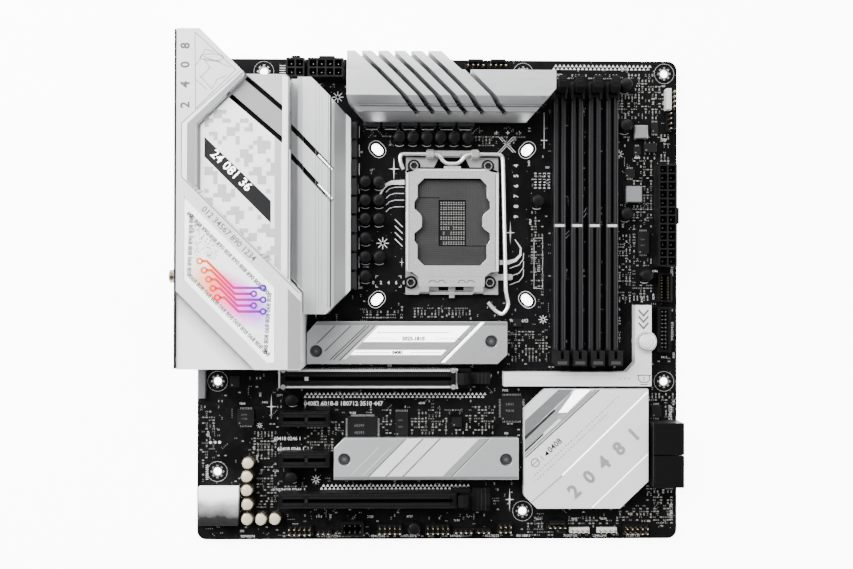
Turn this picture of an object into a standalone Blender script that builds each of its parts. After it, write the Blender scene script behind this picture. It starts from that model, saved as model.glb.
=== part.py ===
"""A micro-ATX motherboard, built as an assembly of separate pieces.

Board coordinates are millimetres: x from the board's rear edge, where the ports are, y from its lower
edge, and z from the upper face of the printed board.  place() turns them into world metres, with the
origin under the middle of the whole assembly and z = 0 on the face that it rests on.
"""
import math

import bmesh
import bpy
from mathutils import Matrix, Vector

MM = 0.001

# Driving dimensions, in millimetres.
BOARD = 244.0                   # both sides of the printed board
BOARD_THICK = 1.6
BOARD_CORNER = 4.5
BOARD_TOP = 4.2                 # height of the board's upper face above the resting plane
GAP = 0.3                       # clearance between touching pieces
ROUND_STEPS = 20                # sides of a round piece

POST_END = -9.5                 # tip of the antenna posts, the leftmost point
DRIVE_PORT_END = 244.3          # face of the drive ports, the rightmost point
SHROUD_Y = (88.6, 250.5)
CENTRE_X = (POST_END + DRIVE_PORT_END) / 2
CENTRE_Y = SHROUD_Y[1] / 2

MOUNT_HOLE_RADIUS = 1.98
MOUNT_HOLES = [(33.02, 237.65), (165.10, 237.65), (237.49, 237.65), (10.16, 80.17),
               (237.49, 80.17), (10.16, 34.45), (165.10, 14.13)]

SOCKET = (129.0, 160.0)         # middle of the processor socket
COOLER_PATTERNS = (37.5, 39.0)  # half sides of the two square cooler hole patterns
COOLER_HOLE_RADIUS = 2.3
SOCKET_SCREWS = [(109.4, 189.6), (147.0, 189.6), (107.9, 130.5), (148.0, 130.5)]
FRAME_TOP = 1.8                 # upper face of the steel frame round the socket
PLATE_Z = (4.8, 6.2)            # load plate
PLATE_AXIS = (126.2, 3.7)       # y, z of the load plate's hinge
LEVER_AXIS = (195.4, 4.6)       # y, z of the load lever's pivot wire
WIRE_RADIUS = 1.0

MEMORY_X = [183.0, 191.9, 200.8, 209.7]
MEMORY_LATCH_AXIS = (229.0, 3.6)

CARD_SLOT_Y = [82.25 - 20.32 * row for row in range(4)]
CARD_SLOT_HEIGHT = 11.2
CARD_LATCH_AXIS = (135.2, 3.4)  # x, z of the card latches' hinge

M2_Z = (3.9, 9.9)
SHROUD_TOP = 40.0
PANEL_TOP = 36.0
SHROUD_WALL = 2.0
SHIELD_X = (-4.7, -3.9)
BUTTON_Y = 216.0
BUTTON_Z = [8.0, 20.0]
RELEASE = (226.3, 100.8)

PALETTE = {                     # colour, roughness, metallic
    "board_black": ((0.012, 0.012, 0.014), 0.45, 0.0),
    "steel": ((0.55, 0.55, 0.54), 0.32, 1.0),
    "bright_steel": ((0.72, 0.72, 0.71), 0.22, 1.0),
    "dark_steel": ((0.10, 0.10, 0.11), 0.40, 1.0),
    "silver_aluminium": ((0.70, 0.71, 0.72), 0.38, 1.0),
    "white_cover": ((0.80, 0.80, 0.81), 0.42, 0.1),
    "lit_window": ((0.92, 0.92, 0.94), 0.25, 0.0),
    "black_plastic": ((0.018, 0.018, 0.019), 0.48, 0.0),
    "grey_plastic": ((0.10, 0.10, 0.11), 0.50, 0.0),
    "contact_grey": ((0.16, 0.15, 0.14), 0.45, 0.4),
    "silicon_black": ((0.03, 0.03, 0.035), 0.30, 0.0),
}


# ---------------------------------------------------------------------------------------- helpers

def clear_scene():
    for obj in list(bpy.data.objects):
        bpy.data.objects.remove(obj)


def new_collection(name):
    collection = bpy.data.collections.new(name)
    bpy.context.scene.collection.children.link(collection)
    return collection


def material(name):
    """The Principled material of that palette name, made on first use."""
    found = bpy.data.materials.get(name)
    if found:
        return found
    colour, roughness, metallic = PALETTE[name]
    made = bpy.data.materials.new(name)
    made.use_nodes = True
    shader = made.node_tree.nodes["Principled BSDF"]
    shader.inputs["Base Color"].default_value = (*colour, 1.0)
    shader.inputs["Roughness"].default_value = roughness
    shader.inputs["Metallic"].default_value = metallic
    made.diffuse_color = (*colour, 1.0)
    return made


def place(x, y, z):
    """World position, in metres, of a point given in board millimetres."""
    return Vector(((x - CENTRE_X) * MM, (y - CENTRE_Y) * MM, (z + BOARD_TOP) * MM))


def add(name, mesh, finish, origin):
    """A new object in the board's collection, with its origin at a board point."""
    obj = bpy.data.objects.new(name, mesh)
    obj.location = place(*origin)
    mesh.materials.clear()
    mesh.materials.append(material(finish))
    PARTS.objects.link(obj)
    return obj


def mesh_from(bm, name, smooth=False):
    mesh = bpy.data.meshes.new(name)
    bm.to_mesh(mesh)
    bm.free()
    if smooth:
        mesh.shade_smooth()
        mesh.set_sharp_from_angle(angle=math.radians(35))
    return mesh


def middle(span):
    return (span[0] + span[1]) / 2


def boxes(name, finish, *ranges, origin=None):
    """One object of separate boxes, each given by its x, y and z ranges."""
    if origin is None:
        origin = [middle(span) for span in ranges[0]]
    bm = bmesh.new()
    for spans in ranges:
        centre = Vector([middle(span) - o for span, o in zip(spans, origin)])
        size = [span[1] - span[0] for span in spans]
        matrix = Matrix.Translation(centre * MM) @ Matrix.Diagonal((*[s * MM for s in size], 1.0))
        bmesh.ops.create_cube(bm, size=1.0, matrix=matrix)
    return add(name, mesh_from(bm, name), finish, origin)


def flat_mesh(name, outline, depth, holes=()):
    """Mesh of a flat outline of that depth, centred on its own plane, with holes through it."""
    curve = bpy.data.curves.new(name, "CURVE")
    curve.dimensions = "2D"
    curve.fill_mode = "BOTH"
    curve.extrude = depth * MM / 2
    for loop in [outline, *holes]:
        spline = curve.splines.new("POLY")
        spline.points.add(len(loop) - 1)
        for point, (u, v) in zip(spline.points, loop):
            point.co = (u * MM, v * MM, 0.0, 1.0)
        spline.use_cyclic_u = True
    guide = bpy.data.objects.new(name + "_outline", curve)
    PARTS.objects.link(guide)
    graph = bpy.context.evaluated_depsgraph_get()
    mesh = bpy.data.meshes.new_from_object(guide.evaluated_get(graph))
    bpy.data.objects.remove(guide)
    bm = bmesh.new()
    bm.from_mesh(mesh)
    bmesh.ops.remove_doubles(bm, verts=bm.verts, dist=0.00001)
    bm.to_mesh(mesh)
    bm.free()
    mesh.name = name
    return mesh


def plan(name, finish, outline, z, holes=(), origin=(0.0, 0.0)):
    """A plate or block cut from a plan outline, between two heights."""
    ox, oy = origin
    shifted = [[(x - ox, y - oy) for x, y in loop] for loop in [outline, *holes]]
    mesh = flat_mesh(name, shifted[0], z[1] - z[0], shifted[1:])
    return add(name, mesh, finish, (ox, oy, middle(z)))


def profile_yz(name, finish, outline, x, holes=(), origin=(0.0, 0.0)):
    """A piece whose outline in (y, z) runs along x.  Its origin is on the point (y, z) given."""
    oy, oz = origin
    shifted = [[(y - oy, z - oz) for y, z in loop] for loop in [outline, *holes]]
    mesh = flat_mesh(name, shifted[0], x[1] - x[0], shifted[1:])
    mesh.transform(Matrix(((0, 0, 1, 0), (1, 0, 0, 0), (0, 1, 0, 0), (0, 0, 0, 1))))
    return add(name, mesh, finish, (middle(x), oy, oz))


def profile_xz(name, finish, outline, y, holes=(), origin=(0.0, 0.0)):
    """A piece whose outline in (x, z) runs along y.  Its origin is on the point (x, z) given."""
    ox, oz = origin
    shifted = [[(x - ox, z - oz) for x, z in loop] for loop in [outline, *holes]]
    mesh = flat_mesh(name, shifted[0], y[1] - y[0], shifted[1:])
    mesh.transform(Matrix.Rotation(math.radians(90), 4, "X"))
    return add(name, mesh, finish, (ox, middle(y), oz))


def turned(name, finish, profile, origin, axis="Z"):
    """A round piece: a profile of (radius, height) from its top to its foot, turned about the axis."""
    bm = bmesh.new()
    verts = [bm.verts.new((radius * MM, 0.0, height * MM)) for radius, height in profile]
    for upper, lower in zip(verts, verts[1:]):
        bm.edges.new((upper, lower))
    obj = add(name, mesh_from(bm, name), finish, origin)
    screw = obj.modifiers.new("Turn", "SCREW")
    screw.axis = "Z"
    screw.steps = ROUND_STEPS
    screw.render_steps = ROUND_STEPS
    screw.use_merge_vertices = True
    screw.merge_threshold = 0.00001
    screw.use_smooth_shade = False
    if axis == "X":
        obj.rotation_euler = (0.0, math.radians(90), 0.0)
    return obj


def hide_as_cutter(obj):
    obj.hide_render = True
    obj.display_type = "WIRE"
    PARTS.objects.unlink(obj)
    CUTTERS.objects.link(obj)


def combine(target, operation, *others):
    for other in others:
        modifier = target.modifiers.new(operation.title(), "BOOLEAN")
        modifier.operation = operation
        modifier.solver = "EXACT"
        modifier.object = other
        hide_as_cutter(other)
    return target


def unite(target, *others):
    return combine(target, "UNION", *others)


def cut(target, *others):
    return combine(target, "DIFFERENCE", *others)


def baked_mesh(obj, smooth=False):
    """The object's shape with its modifiers applied, as a mesh that copies can share."""
    graph = bpy.context.evaluated_depsgraph_get()
    mesh = bpy.data.meshes.new_from_object(obj.evaluated_get(graph))
    if smooth:
        mesh.shade_smooth()
        mesh.set_sharp_from_angle(angle=math.radians(35))
    return mesh


def copies(prototype, names, shifts, smooth=False):
    """Named copies that share the prototype's finished mesh, each moved by a board vector."""
    mesh = baked_mesh(prototype, smooth)
    mesh.name = names[0]
    home = prototype.location.copy()
    hide_as_cutter(prototype)
    made = []
    for name, shift in zip(names, shifts):
        obj = bpy.data.objects.new(name, mesh)
        obj.location = home + Vector(shift) * MM
        PARTS.objects.link(obj)
        made.append(obj)
    return made


# --------------------------------------------------------------------------------------- outlines

def rectangle(x, y):
    return [(x[0], y[0]), (x[1], y[0]), (x[1], y[1]), (x[0], y[1])]


def arc(centre, radius, start, end, steps):
    """Points on an arc, from one angle to another in degrees."""
    angles = [math.radians(start + (end - start) * i / steps) for i in range(steps + 1)]
    return [(centre[0] + radius * math.cos(a), centre[1] + radius * math.sin(a)) for a in angles]


def circle(centre, radius, steps=16):
    return arc(centre, radius, 0.0, 360.0, steps)[:-1]


def rounded(x, y, radius, steps=5):
    """A rectangle with round corners."""
    right_top = arc((x[1] - radius, y[1] - radius), radius, 0, 90, steps)
    left_top = arc((x[0] + radius, y[1] - radius), radius, 90, 180, steps)
    left_foot = arc((x[0] + radius, y[0] + radius), radius, 180, 270, steps)
    right_foot = arc((x[1] - radius, y[0] + radius), radius, 270, 360, steps)
    return right_top + left_top + left_foot + right_foot


def chamfered(x, y, size):
    """A rectangle with its four corners cut off at 45 degrees."""
    return [(x[0] + size, y[0]), (x[1] - size, y[0]), (x[1], y[0] + size), (x[1], y[1] - size),
            (x[1] - size, y[1]), (x[0] + size, y[1]), (x[0], y[1] - size), (x[0], y[0] + size)]


def slotted_hole(start, end, radius, steps=6):
    """A hole whose outline is two half circles joined by straight sides."""
    turn = math.degrees(math.atan2(end[1] - start[1], end[0] - start[0]))
    return (arc(end, radius, turn - 90, turn + 90, steps)
            + arc(start, radius, turn + 90, turn + 270, steps))


def filleted(points, radius, steps=4):
    """A 3-D route with each inner corner rounded by a short curve."""
    route = [Vector(points[0])]
    for before, corner, after in zip(points, points[1:], points[2:]):
        before, corner, after = Vector(before), Vector(corner), Vector(after)
        reach = min(radius, (before - corner).length / 2.1, (after - corner).length / 2.1)
        enter = corner + (before - corner).normalized() * reach
        leave = corner + (after - corner).normalized() * reach
        for i in range(steps + 1):
            t = i / steps
            route.append((1 - t) ** 2 * enter + 2 * t * (1 - t) * corner + t ** 2 * leave)
    route.append(Vector(points[-1]))
    return route


# ------------------------------------------------------------------------------ board and socket

def printed_board():
    outline = rounded((0.0, BOARD), (0.0, BOARD), BOARD_CORNER)
    holes = [circle(point, MOUNT_HOLE_RADIUS) for point in MOUNT_HOLES]
    holes += [circle(point, 2.0) for point in SOCKET_SCREWS]
    inner, outer = COOLER_PATTERNS
    for sx in (-1, 1):
        for sy in (-1, 1):
            start = (SOCKET[0] + sx * inner, SOCKET[1] + sy * inner)
            end = (SOCKET[0] + sx * outer, SOCKET[1] + sy * outer)
            holes.append(slotted_hole(start, end, COOLER_HOLE_RADIUS))
    plan("pcb", "board_black", outline, (-BOARD_THICK, 0.0), holes)


def socket_backplate():
    outline = chamfered((98.0, 160.0), (122.0, 198.0), 8.0)
    holes = [circle(point, 1.95) for point in SOCKET_SCREWS]
    plan("socket_backplate", "dark_steel", outline, (-BOARD_TOP, -BOARD_THICK - GAP), holes)


def socket_housing():
    """Plastic base of the socket, with a walled recess for the contact field."""
    housing = boxes("socket_housing", "grey_plastic",
                    ((108.2, 149.8), (135.5, 184.5), (GAP, 4.2)))
    cut(housing, boxes("housing_recess", "grey_plastic",
                       ((110.0, 148.0), (137.2, 182.8), (2.2, 5.0))))
    field = rectangle((110.4, 147.6), (137.6, 182.4))
    cavity = rectangle((122.6, 135.2), (149.6, 171.6))
    plan("socket_contacts", "contact_grey", field, (2.5, 3.1), [cavity])


def lever_clip(x):
    """A steel clip that holds the lever's wire down on the frame."""
    y, z = LEVER_AXIS
    outline = [(y - 2.5, 1.0), (y + 2.2, 1.0), (y + 2.2, z + 1.4), (y + 1.2, z + 2.3),
               (y - 1.6, z + 2.3), (y - 2.5, z + 1.4)]
    return profile_yz("lever_clip", "steel", outline, x, [circle((y, z), WIRE_RADIUS + GAP, 12)])


def socket_frame():
    """Flat steel frame round the socket, with its front lip, two wire clips and the lever's tab."""
    outline = [(105.3, 124.8), (152.3, 124.8), (152.3, 131.6), (159.2, 131.6), (159.2, 134.8),
               (152.3, 134.8), (152.3, 194.0), (143.2, 194.0), (142.6, 197.5), (115.8, 197.5),
               (115.2, 194.0), (105.3, 194.0)]
    window = rectangle((107.8, 150.2), (135.1, 184.9))
    holes = [circle(point, 1.95) for point in SOCKET_SCREWS]
    frame = plan("socket_frame", "steel", outline, (GAP, FRAME_TOP), [window, *holes])
    lip_spans = [(105.3, 111.9), (117.5, 139.3), (144.9, 152.3)]
    for x in lip_spans:
        unite(frame, boxes("front_lip", "steel", (x, (124.3, 125.5), (GAP, 3.0))))
    for x in [(116.0, 119.2), (138.5, 141.9)]:
        unite(frame, lever_clip(x))
    unite(frame, boxes("wire_guard", "steel", ((124.2, 133.0), (194.6, 196.4), (1.0, 3.6))))
    unite(frame, boxes("lever_stop", "steel", ((157.6, 159.2), (132.0, 134.4), (1.0, 7.4))))
    unite(frame, boxes("front_tongue", "steel", ((127.4, 130.0), (122.6, 130.0), (1.0, 2.7))))


def load_plate():
    """Hinged steel plate that presses the processor down, with its window, sides and hinge hooks."""
    axis_y, axis_z = PLATE_AXIS
    low, high = PLATE_Z
    outline = [(105.4, 136.0), (108.6, 135.6), (111.7, 133.4), (112.0, 128.4), (145.0, 128.4),
               (145.2, 133.4), (148.2, 135.6), (152.2, 136.0), (152.2, 185.8), (149.2, 186.0),
               (145.4, 187.8), (111.2, 187.8), (107.6, 186.0), (105.4, 185.8)]
    window = [(114.5, 139.0), (142.9, 139.0), (146.2, 142.4), (146.2, 149.4), (147.8, 151.6),
              (147.8, 155.2), (145.0, 157.4), (144.0, 158.8), (144.0, 163.4), (145.0, 165.2),
              (147.8, 167.6), (147.8, 171.0), (146.2, 173.4), (146.2, 179.6), (142.9, 183.0),
              (114.5, 183.0), (111.2, 179.6), (111.2, 173.4), (109.6, 171.0), (109.6, 167.6),
              (112.4, 165.2), (113.4, 163.4), (113.4, 158.8), (112.4, 157.4), (109.6, 155.2),
              (109.6, 151.6), (111.2, 149.4), (111.2, 142.4)]
    plate = plan("load_plate", "bright_steel", outline, PLATE_Z, [window],
                 (middle((105.4, 152.2)), axis_y))
    plate.data.transform(Matrix.Translation((0.0, 0.0, (middle(PLATE_Z) - axis_z) * MM)))
    plate.location = place(middle((105.4, 152.2)), axis_y, axis_z)
    for x in [(105.4, 106.6), (151.0, 152.2)]:
        unite(plate, boxes("plate_side", "bright_steel", (x, (138.0, 184.6), (2.6, high - 0.3))))
    hook = [(axis_y + 2.6, low), (axis_y + 2.6, high), (axis_y - 0.4, high - 0.6)]
    hook += arc((axis_y, axis_z), 1.5, 160, 300, 6)
    hook += [(axis_y + 1.6, axis_z)]
    for x in [(112.5, 116.9), (139.9, 144.3)]:
        unite(plate, profile_yz("hinge_hook", "bright_steel", hook, x))
    unite(plate, boxes("press_tongue", "bright_steel",
                       ((124.5, 133.0), (187.0, 189.2), (low + 0.2, high - 0.2))))


def load_lever():
    """Bent wire lever: a cranked pivot length, a long arm and a finger hook."""
    axis_y, axis_z = LEVER_AXIS
    corners = [(104.0, 187.6), (102.3, 191.3), (102.3, axis_y), (122.0, axis_y), (124.8, 190.6),
               (132.4, 190.6), (135.6, axis_y), (154.3, axis_y), (154.5, 190.0), (156.0, 126.0),
               (157.6, 118.6), (154.4, 114.0), (150.6, 116.2), (147.0, 120.4)]
    route = filleted([(x - SOCKET[0], y - axis_y, 0.0) for x, y in corners], 2.6)
    curve = bpy.data.curves.new("load_lever", "CURVE")
    curve.dimensions = "3D"
    curve.bevel_depth = WIRE_RADIUS * MM
    curve.bevel_resolution = 2
    curve.use_fill_caps = True
    spline = curve.splines.new("POLY")
    spline.points.add(len(route) - 1)
    for point, position in zip(spline.points, route):
        point.co = (*(position * MM), 1.0)
    lever = bpy.data.objects.new("load_lever", curve)
    lever.location = place(SOCKET[0], axis_y, axis_z)
    curve.materials.append(material("bright_steel"))
    PARTS.objects.link(lever)


def socket_screws():
    """Four screws from the frame, through the board, into the backplate."""
    profile = [(0.0, 4.3), (2.3, 4.3), (2.7, 3.9), (2.7, 2.1), (1.6, 2.1), (1.6, -3.9), (0.0, -3.9)]
    first = SOCKET_SCREWS[0]
    screw = turned("screw_pattern", "dark_steel", profile, (*first, 0.0))
    socket = turned("drive_recess", "dark_steel", [(0.0, 5.0), (1.3, 5.0), (1.3, 3.1), (0.0, 3.1)],
                    (*first, 0.0))
    cut(screw, socket)
    names = ["socket_screw_%d" % (i + 1) for i in range(len(SOCKET_SCREWS))]
    shifts = [(x - first[0], y - first[1], 0.0) for x, y in SOCKET_SCREWS]
    copies(screw, names, shifts, smooth=True)


# ------------------------------------------------------------------------------ memory and cards

def memory_slots():
    """Four memory slots: a grooved rail, a fixed lower tower and a forked upper end."""
    x = MEMORY_X[0]
    slot = boxes("memory_slot", "black_plastic", ((x - 3.1, x + 3.1), (96.0, 225.8), (GAP, 6.8)))
    unite(slot, boxes("tower", "black_plastic", ((x - 3.4, x + 3.4), (89.1, 96.5), (GAP, 17.5))))
    for side in [(-3.4, -2.2), (2.2, 3.4)]:
        cheek = (x + side[0], x + side[1])
        unite(slot, boxes("cheek", "black_plastic", (cheek, (223.0, 231.5), (GAP, 9.0))))
    for y in [(92.4, 158.6), (160.9, 224.2)]:
        cut(slot, boxes("groove", "black_plastic", ((x - 0.75, x + 0.75), y, (1.8, 20.0))))
    shifts = [(position - x, 0.0, 0.0) for position in MEMORY_X]
    copies(slot, ["dimm_slot_%d" % (i + 1) for i in range(len(MEMORY_X))], shifts)


def memory_latches():
    """Swinging latches at the upper ends, each on a pivot near its foot."""
    axis_y, axis_z = MEMORY_LATCH_AXIS
    x = MEMORY_X[0]
    outline = arc((axis_y, axis_z), 2.7, 180, 360, 8)
    outline += [(axis_y + 2.4, 13.0), (axis_y + 4.4, 16.6), (axis_y + 4.4, 18.6),
                (axis_y - 1.6, 18.6), (axis_y - 4.0, 15.6), (axis_y - 4.0, 14.4),
                (axis_y - 2.7, 13.0)]
    latch = profile_yz("latch_pattern", "black_plastic", outline, (x - 1.9, x + 1.9),
                       origin=MEMORY_LATCH_AXIS)
    shifts = [(position - x, 0.0, 0.0) for position in MEMORY_X]
    copies(latch, ["dimm_latch_%d" % (i + 1) for i in range(len(MEMORY_X))], shifts)


def card_slot(name, y, x, key_x):
    """A card slot body with a groove on each side of its key."""
    body = boxes(name, "black_plastic", (x, (y - 3.75, y + 3.75), (GAP, CARD_SLOT_HEIGHT)))
    for groove in [(x[0] + 2.0, key_x - 0.9), (key_x + 0.9, x[1] - 2.0)]:
        cut(body, boxes("card_groove", "black_plastic",
                        (groove, (y - 0.9, y + 0.9), (3.2, CARD_SLOT_HEIGHT + 2.0))))
    return body


def latch_cheeks(body, y, x_start):
    """The fork at a long slot's end that holds its latch."""
    for side in (-1, 1):
        span = sorted((y + side * 3.2, y + side * 5.0))
        unite(body, boxes("latch_cheek", "black_plastic", ((x_start, 138.2), span, (GAP, 7.0))))


def card_slots():
    upper, first, second, lower = CARD_SLOT_Y
    armoured = card_slot("pcie_x16_upper", upper, (43.2, 130.2), 55.9)
    unite(armoured, boxes("armoured_base", "black_plastic",
                          ((42.0, 132.0), (upper - 5.2, upper + 5.2), (GAP, 2.3))))
    latch_cheeks(armoured, upper, 131.7)
    ring = rectangle((42.0, 131.4), (upper - 5.0, upper + 5.0))
    inside = rectangle((42.8, 130.6), (upper - 4.1, upper + 4.1))
    shield = plan("pcie_x16_shield", "bright_steel", ring, (2.6, CARD_SLOT_HEIGHT + 0.4), [inside])
    notch = boxes("latch_way", "bright_steel",
                  ((130.0, 132.0), (upper - 4.0, upper + 4.0), (7.4, CARD_SLOT_HEIGHT + 1.0)))
    cut(shield, notch)
    card_slot("pcie_x1_1", first, (42.5, 67.5), 55.9)
    card_slot("pcie_x1_2", second, (42.5, 67.5), 55.9)
    long_slot = card_slot("pcie_x16_lower", lower, (42.2, 131.0), 55.9)
    latch_cheeks(long_slot, lower, 129.0)


def card_latch(name, y, half_width):
    """A card latch: a round foot on the hinge, an upright with a hook, and a sloping thumb tab."""
    axis_x, axis_z = CARD_LATCH_AXIS
    outline = arc((axis_x, axis_z), 2.4, 180, 330, 7)
    outline += [(axis_x + 5.0, 4.4), (axis_x + 12.4, 6.8), (axis_x + 12.8, 8.4),
                (axis_x + 3.0, 6.6), (axis_x + 1.4, 8.0), (axis_x + 1.2, 13.0),
                (axis_x - 1.0, 13.6), (axis_x - 3.6, 12.8), (axis_x - 3.6, 11.9),
                (axis_x - 2.0, 11.2), (axis_x - 2.4, 8.0)]
    latch = profile_xz(name, "black_plastic", outline, (y - 2.9, y + 2.9),
                       origin=CARD_LATCH_AXIS)
    if half_width > 2.9:
        unite(latch, boxes("thumb_plate", "black_plastic",
                           ((138.9, axis_x + 12.6), (y - half_width, y + half_width), (6.0, 7.4))))


def card_latches():
    card_latch("pcie_latch_upper", CARD_SLOT_Y[0], 2.9)
    card_latch("pcie_latch_lower", CARD_SLOT_Y[3], 5.6)


# ------------------------------------------------------------------------------------ heatsinks

def m2_heatsink(name, outline, screws):
    """A flat heatsink over an M.2 bay, with counterbored holes and a foot at each screw."""
    low, high = M2_Z
    holes = [circle(point, 1.7, 12) for point in screws]
    plate = plan(name, "silver_aluminium", outline, M2_Z, holes)
    for number, point in enumerate(screws):
        unite(plate, plan("%s_foot_%d" % (name, number), "silver_aluminium", circle(point, 3.0, 12),
                          (GAP, low + 0.3), [circle(point, 1.7, 12)]))
        cut(plate, plan("%s_bore_%d" % (name, number), "silver_aluminium",
                        circle(point, 3.1, 16), (high - 1.8, high + 1.0)))
    return plate


def m2_bays():
    upper = [(60.9, 110.8), (55.9, 105.0), (55.9, 89.5), (151.4, 89.5), (156.3, 94.2), (156.3, 110.8)]
    upper_screws = [(60.6, 95.9), (148.3, 100.9)]
    lower = [(69.6, 31.6), (162.1, 31.6), (162.1, 52.4), (74.6, 52.4), (69.6, 47.2)]
    lower_screws = [(74.8, 41.8), (155.8, 41.6)]
    m2_heatsink("m2_heatsink_upper", upper, upper_screws)
    m2_heatsink("m2_heatsink_lower", lower, lower_screws)
    profile = [(0.0, 9.5), (2.2, 9.5), (2.6, 9.1), (2.6, 8.5), (1.3, 8.5), (1.3, 0.9), (0.0, 0.9)]
    first = upper_screws[0]
    screw = turned("m2_screw_pattern", "dark_steel", profile, (*first, 0.0))
    spots = upper_screws + lower_screws
    copies(screw, ["m2_screw_%d" % (i + 1) for i in range(len(spots))],
           [(x - first[0], y - first[1], 0.0) for x, y in spots], smooth=True)
    for name, x, y in [("m2_connector_upper", (136.0, 143.6), 100.0),
                       ("m2_connector_lower", (143.0, 150.6), 42.0)]:
        body = boxes(name, "black_plastic", (x, (y - 9.8, y + 9.8), (GAP, 3.5)))
        cut(body, boxes("edge_slot", "black_plastic",
                        ((x[0] - 1.0, x[0] + 5.0), (y - 9.0, y + 9.0), (1.2, 2.4))))
    for name, x, y in [("m2_latch_upper", 65.6, 101.6), ("m2_latch_lower", 84.0, 42.0)]:
        grip = arc((x, y), 2.4, 40, 320, 12) + [(x + 4.4, y - 1.2), (x + 4.4, y + 1.2)]
        plan(name, "grey_plastic", grip, (GAP, 3.3), origin=(x, y))


def chipset():
    outline = [(175.4, 77.0), (164.9, 66.8), (164.9, 23.6), (171.4, 17.2), (213.0, 17.2),
               (227.3, 30.8), (227.3, 77.0)]
    heatsink = plan("chipset_heatsink", "silver_aluminium", outline, (3.0, 10.4))
    for point in [(172.0, 60.0), (220.0, 34.0)]:
        unite(heatsink, plan("chipset_foot", "silver_aluminium", circle(point, 2.6, 12), (GAP, 3.4)))
    boxes("chipset_package", "silicon_black", ((186.0, 206.0), (37.0, 57.0), (GAP, 2.6)))


def diagonal_cutter(start, end, width, z):
    """A straight upright-sided slot in plan, from one point to another."""
    along = (Vector(end) - Vector(start)).normalized()
    across = Vector((-along.y, along.x)) * width / 2
    corners = [Vector(start) - across, Vector(end) - across, Vector(end) + across,
               Vector(start) + across]
    return plan("diagonal_slot", "silver_aluminium", [tuple(c) for c in corners], z)


def corner_cutter(corners):
    return plan("corner_cut", "silver_aluminium", corners, (-2.0, SHROUD_TOP + 2.0))


def left_power_heatsink():
    """Heatsink beside the shroud: a stepped profile along y, with its outer corners cut off."""
    profile = [(49.3, 9.5), (76.4, 9.5), (77.9, 11.5), (77.9, 16.6), (75.6, 18.5), (70.4, 26.6),
               (69.0, 27.2), (68.4, 30.0), (52.8, 30.0), (52.4, 24.0), (49.3, 24.0)]
    heatsink = profile_xz("vrm_heatsink_left", "silver_aluminium", profile, (114.8, 229.5))
    cut(heatsink, corner_cutter([(59.3, 230.5), (58.9, 229.9), (78.7, 210.2), (80.0, 210.2),
                                 (80.0, 230.5)]))
    cut(heatsink, corner_cutter([(65.9, 114.2), (66.4, 114.0), (80.0, 114.0), (80.0, 128.6)]))
    cut(heatsink, corner_cutter([(48.0, 113.0), (55.8, 113.0), (55.8, 125.4), (49.0, 132.4),
                                 (48.0, 132.4)]))
    cut(heatsink, diagonal_cutter((47.0, 208.4), (69.6, 184.8), 2.2, (17.0, 32.0)))
    cut(heatsink, diagonal_cutter((47.0, 194.2), (69.6, 169.6), 2.2, (17.0, 32.0)))
    for point in [(61.5, 122.0), (56.0, 222.0)]:
        unite(heatsink, plan("heatsink_leg", "silver_aluminium", circle(point, 2.8, 12), (GAP, 10.0)))


def top_power_heatsink():
    """Heatsink above the socket: a profile along x with diagonal slots between its fins."""
    profile = [(210.7, 9.5), (241.8, 9.5), (242.2, 10.0), (242.2, 31.2), (232.8, 35.0),
               (220.2, 35.0), (217.2, 27.4), (216.6, 24.6), (213.8, 23.6), (210.7, 12.4)]
    heatsink = profile_yz("vrm_heatsink_top", "silver_aluminium", profile, (76.6, 177.4))
    cut(heatsink, corner_cutter([(70.0, 220.2), (76.0, 220.2), (84.6, 210.2), (84.6, 209.0),
                                 (70.0, 209.0)]))
    cut(heatsink, corner_cutter([(163.4, 209.6), (164.4, 209.6), (178.4, 224.9), (182.0, 224.9),
                                 (182.0, 209.0), (163.4, 209.0)]))
    cut(heatsink, corner_cutter([(131.8, 232.6), (182.0, 232.6), (182.0, 244.0), (120.4, 244.0)]))
    for total in [324.3, 332.3, 340.3, 348.3, 356.6, 367.4]:
        start = (total - 243.6, 243.6)
        end = (total - 212.9, 212.9)
        cut(heatsink, diagonal_cutter(start, end, 2.1, (19.0, 37.0)))
    for point in [(84.0, 230.0), (168.0, 226.0)]:
        unite(heatsink, plan("heatsink_leg", "silver_aluminium", circle(point, 2.8, 12), (GAP, 10.0)))


# ------------------------------------------------------------------------- shroud, shield, ports

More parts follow.
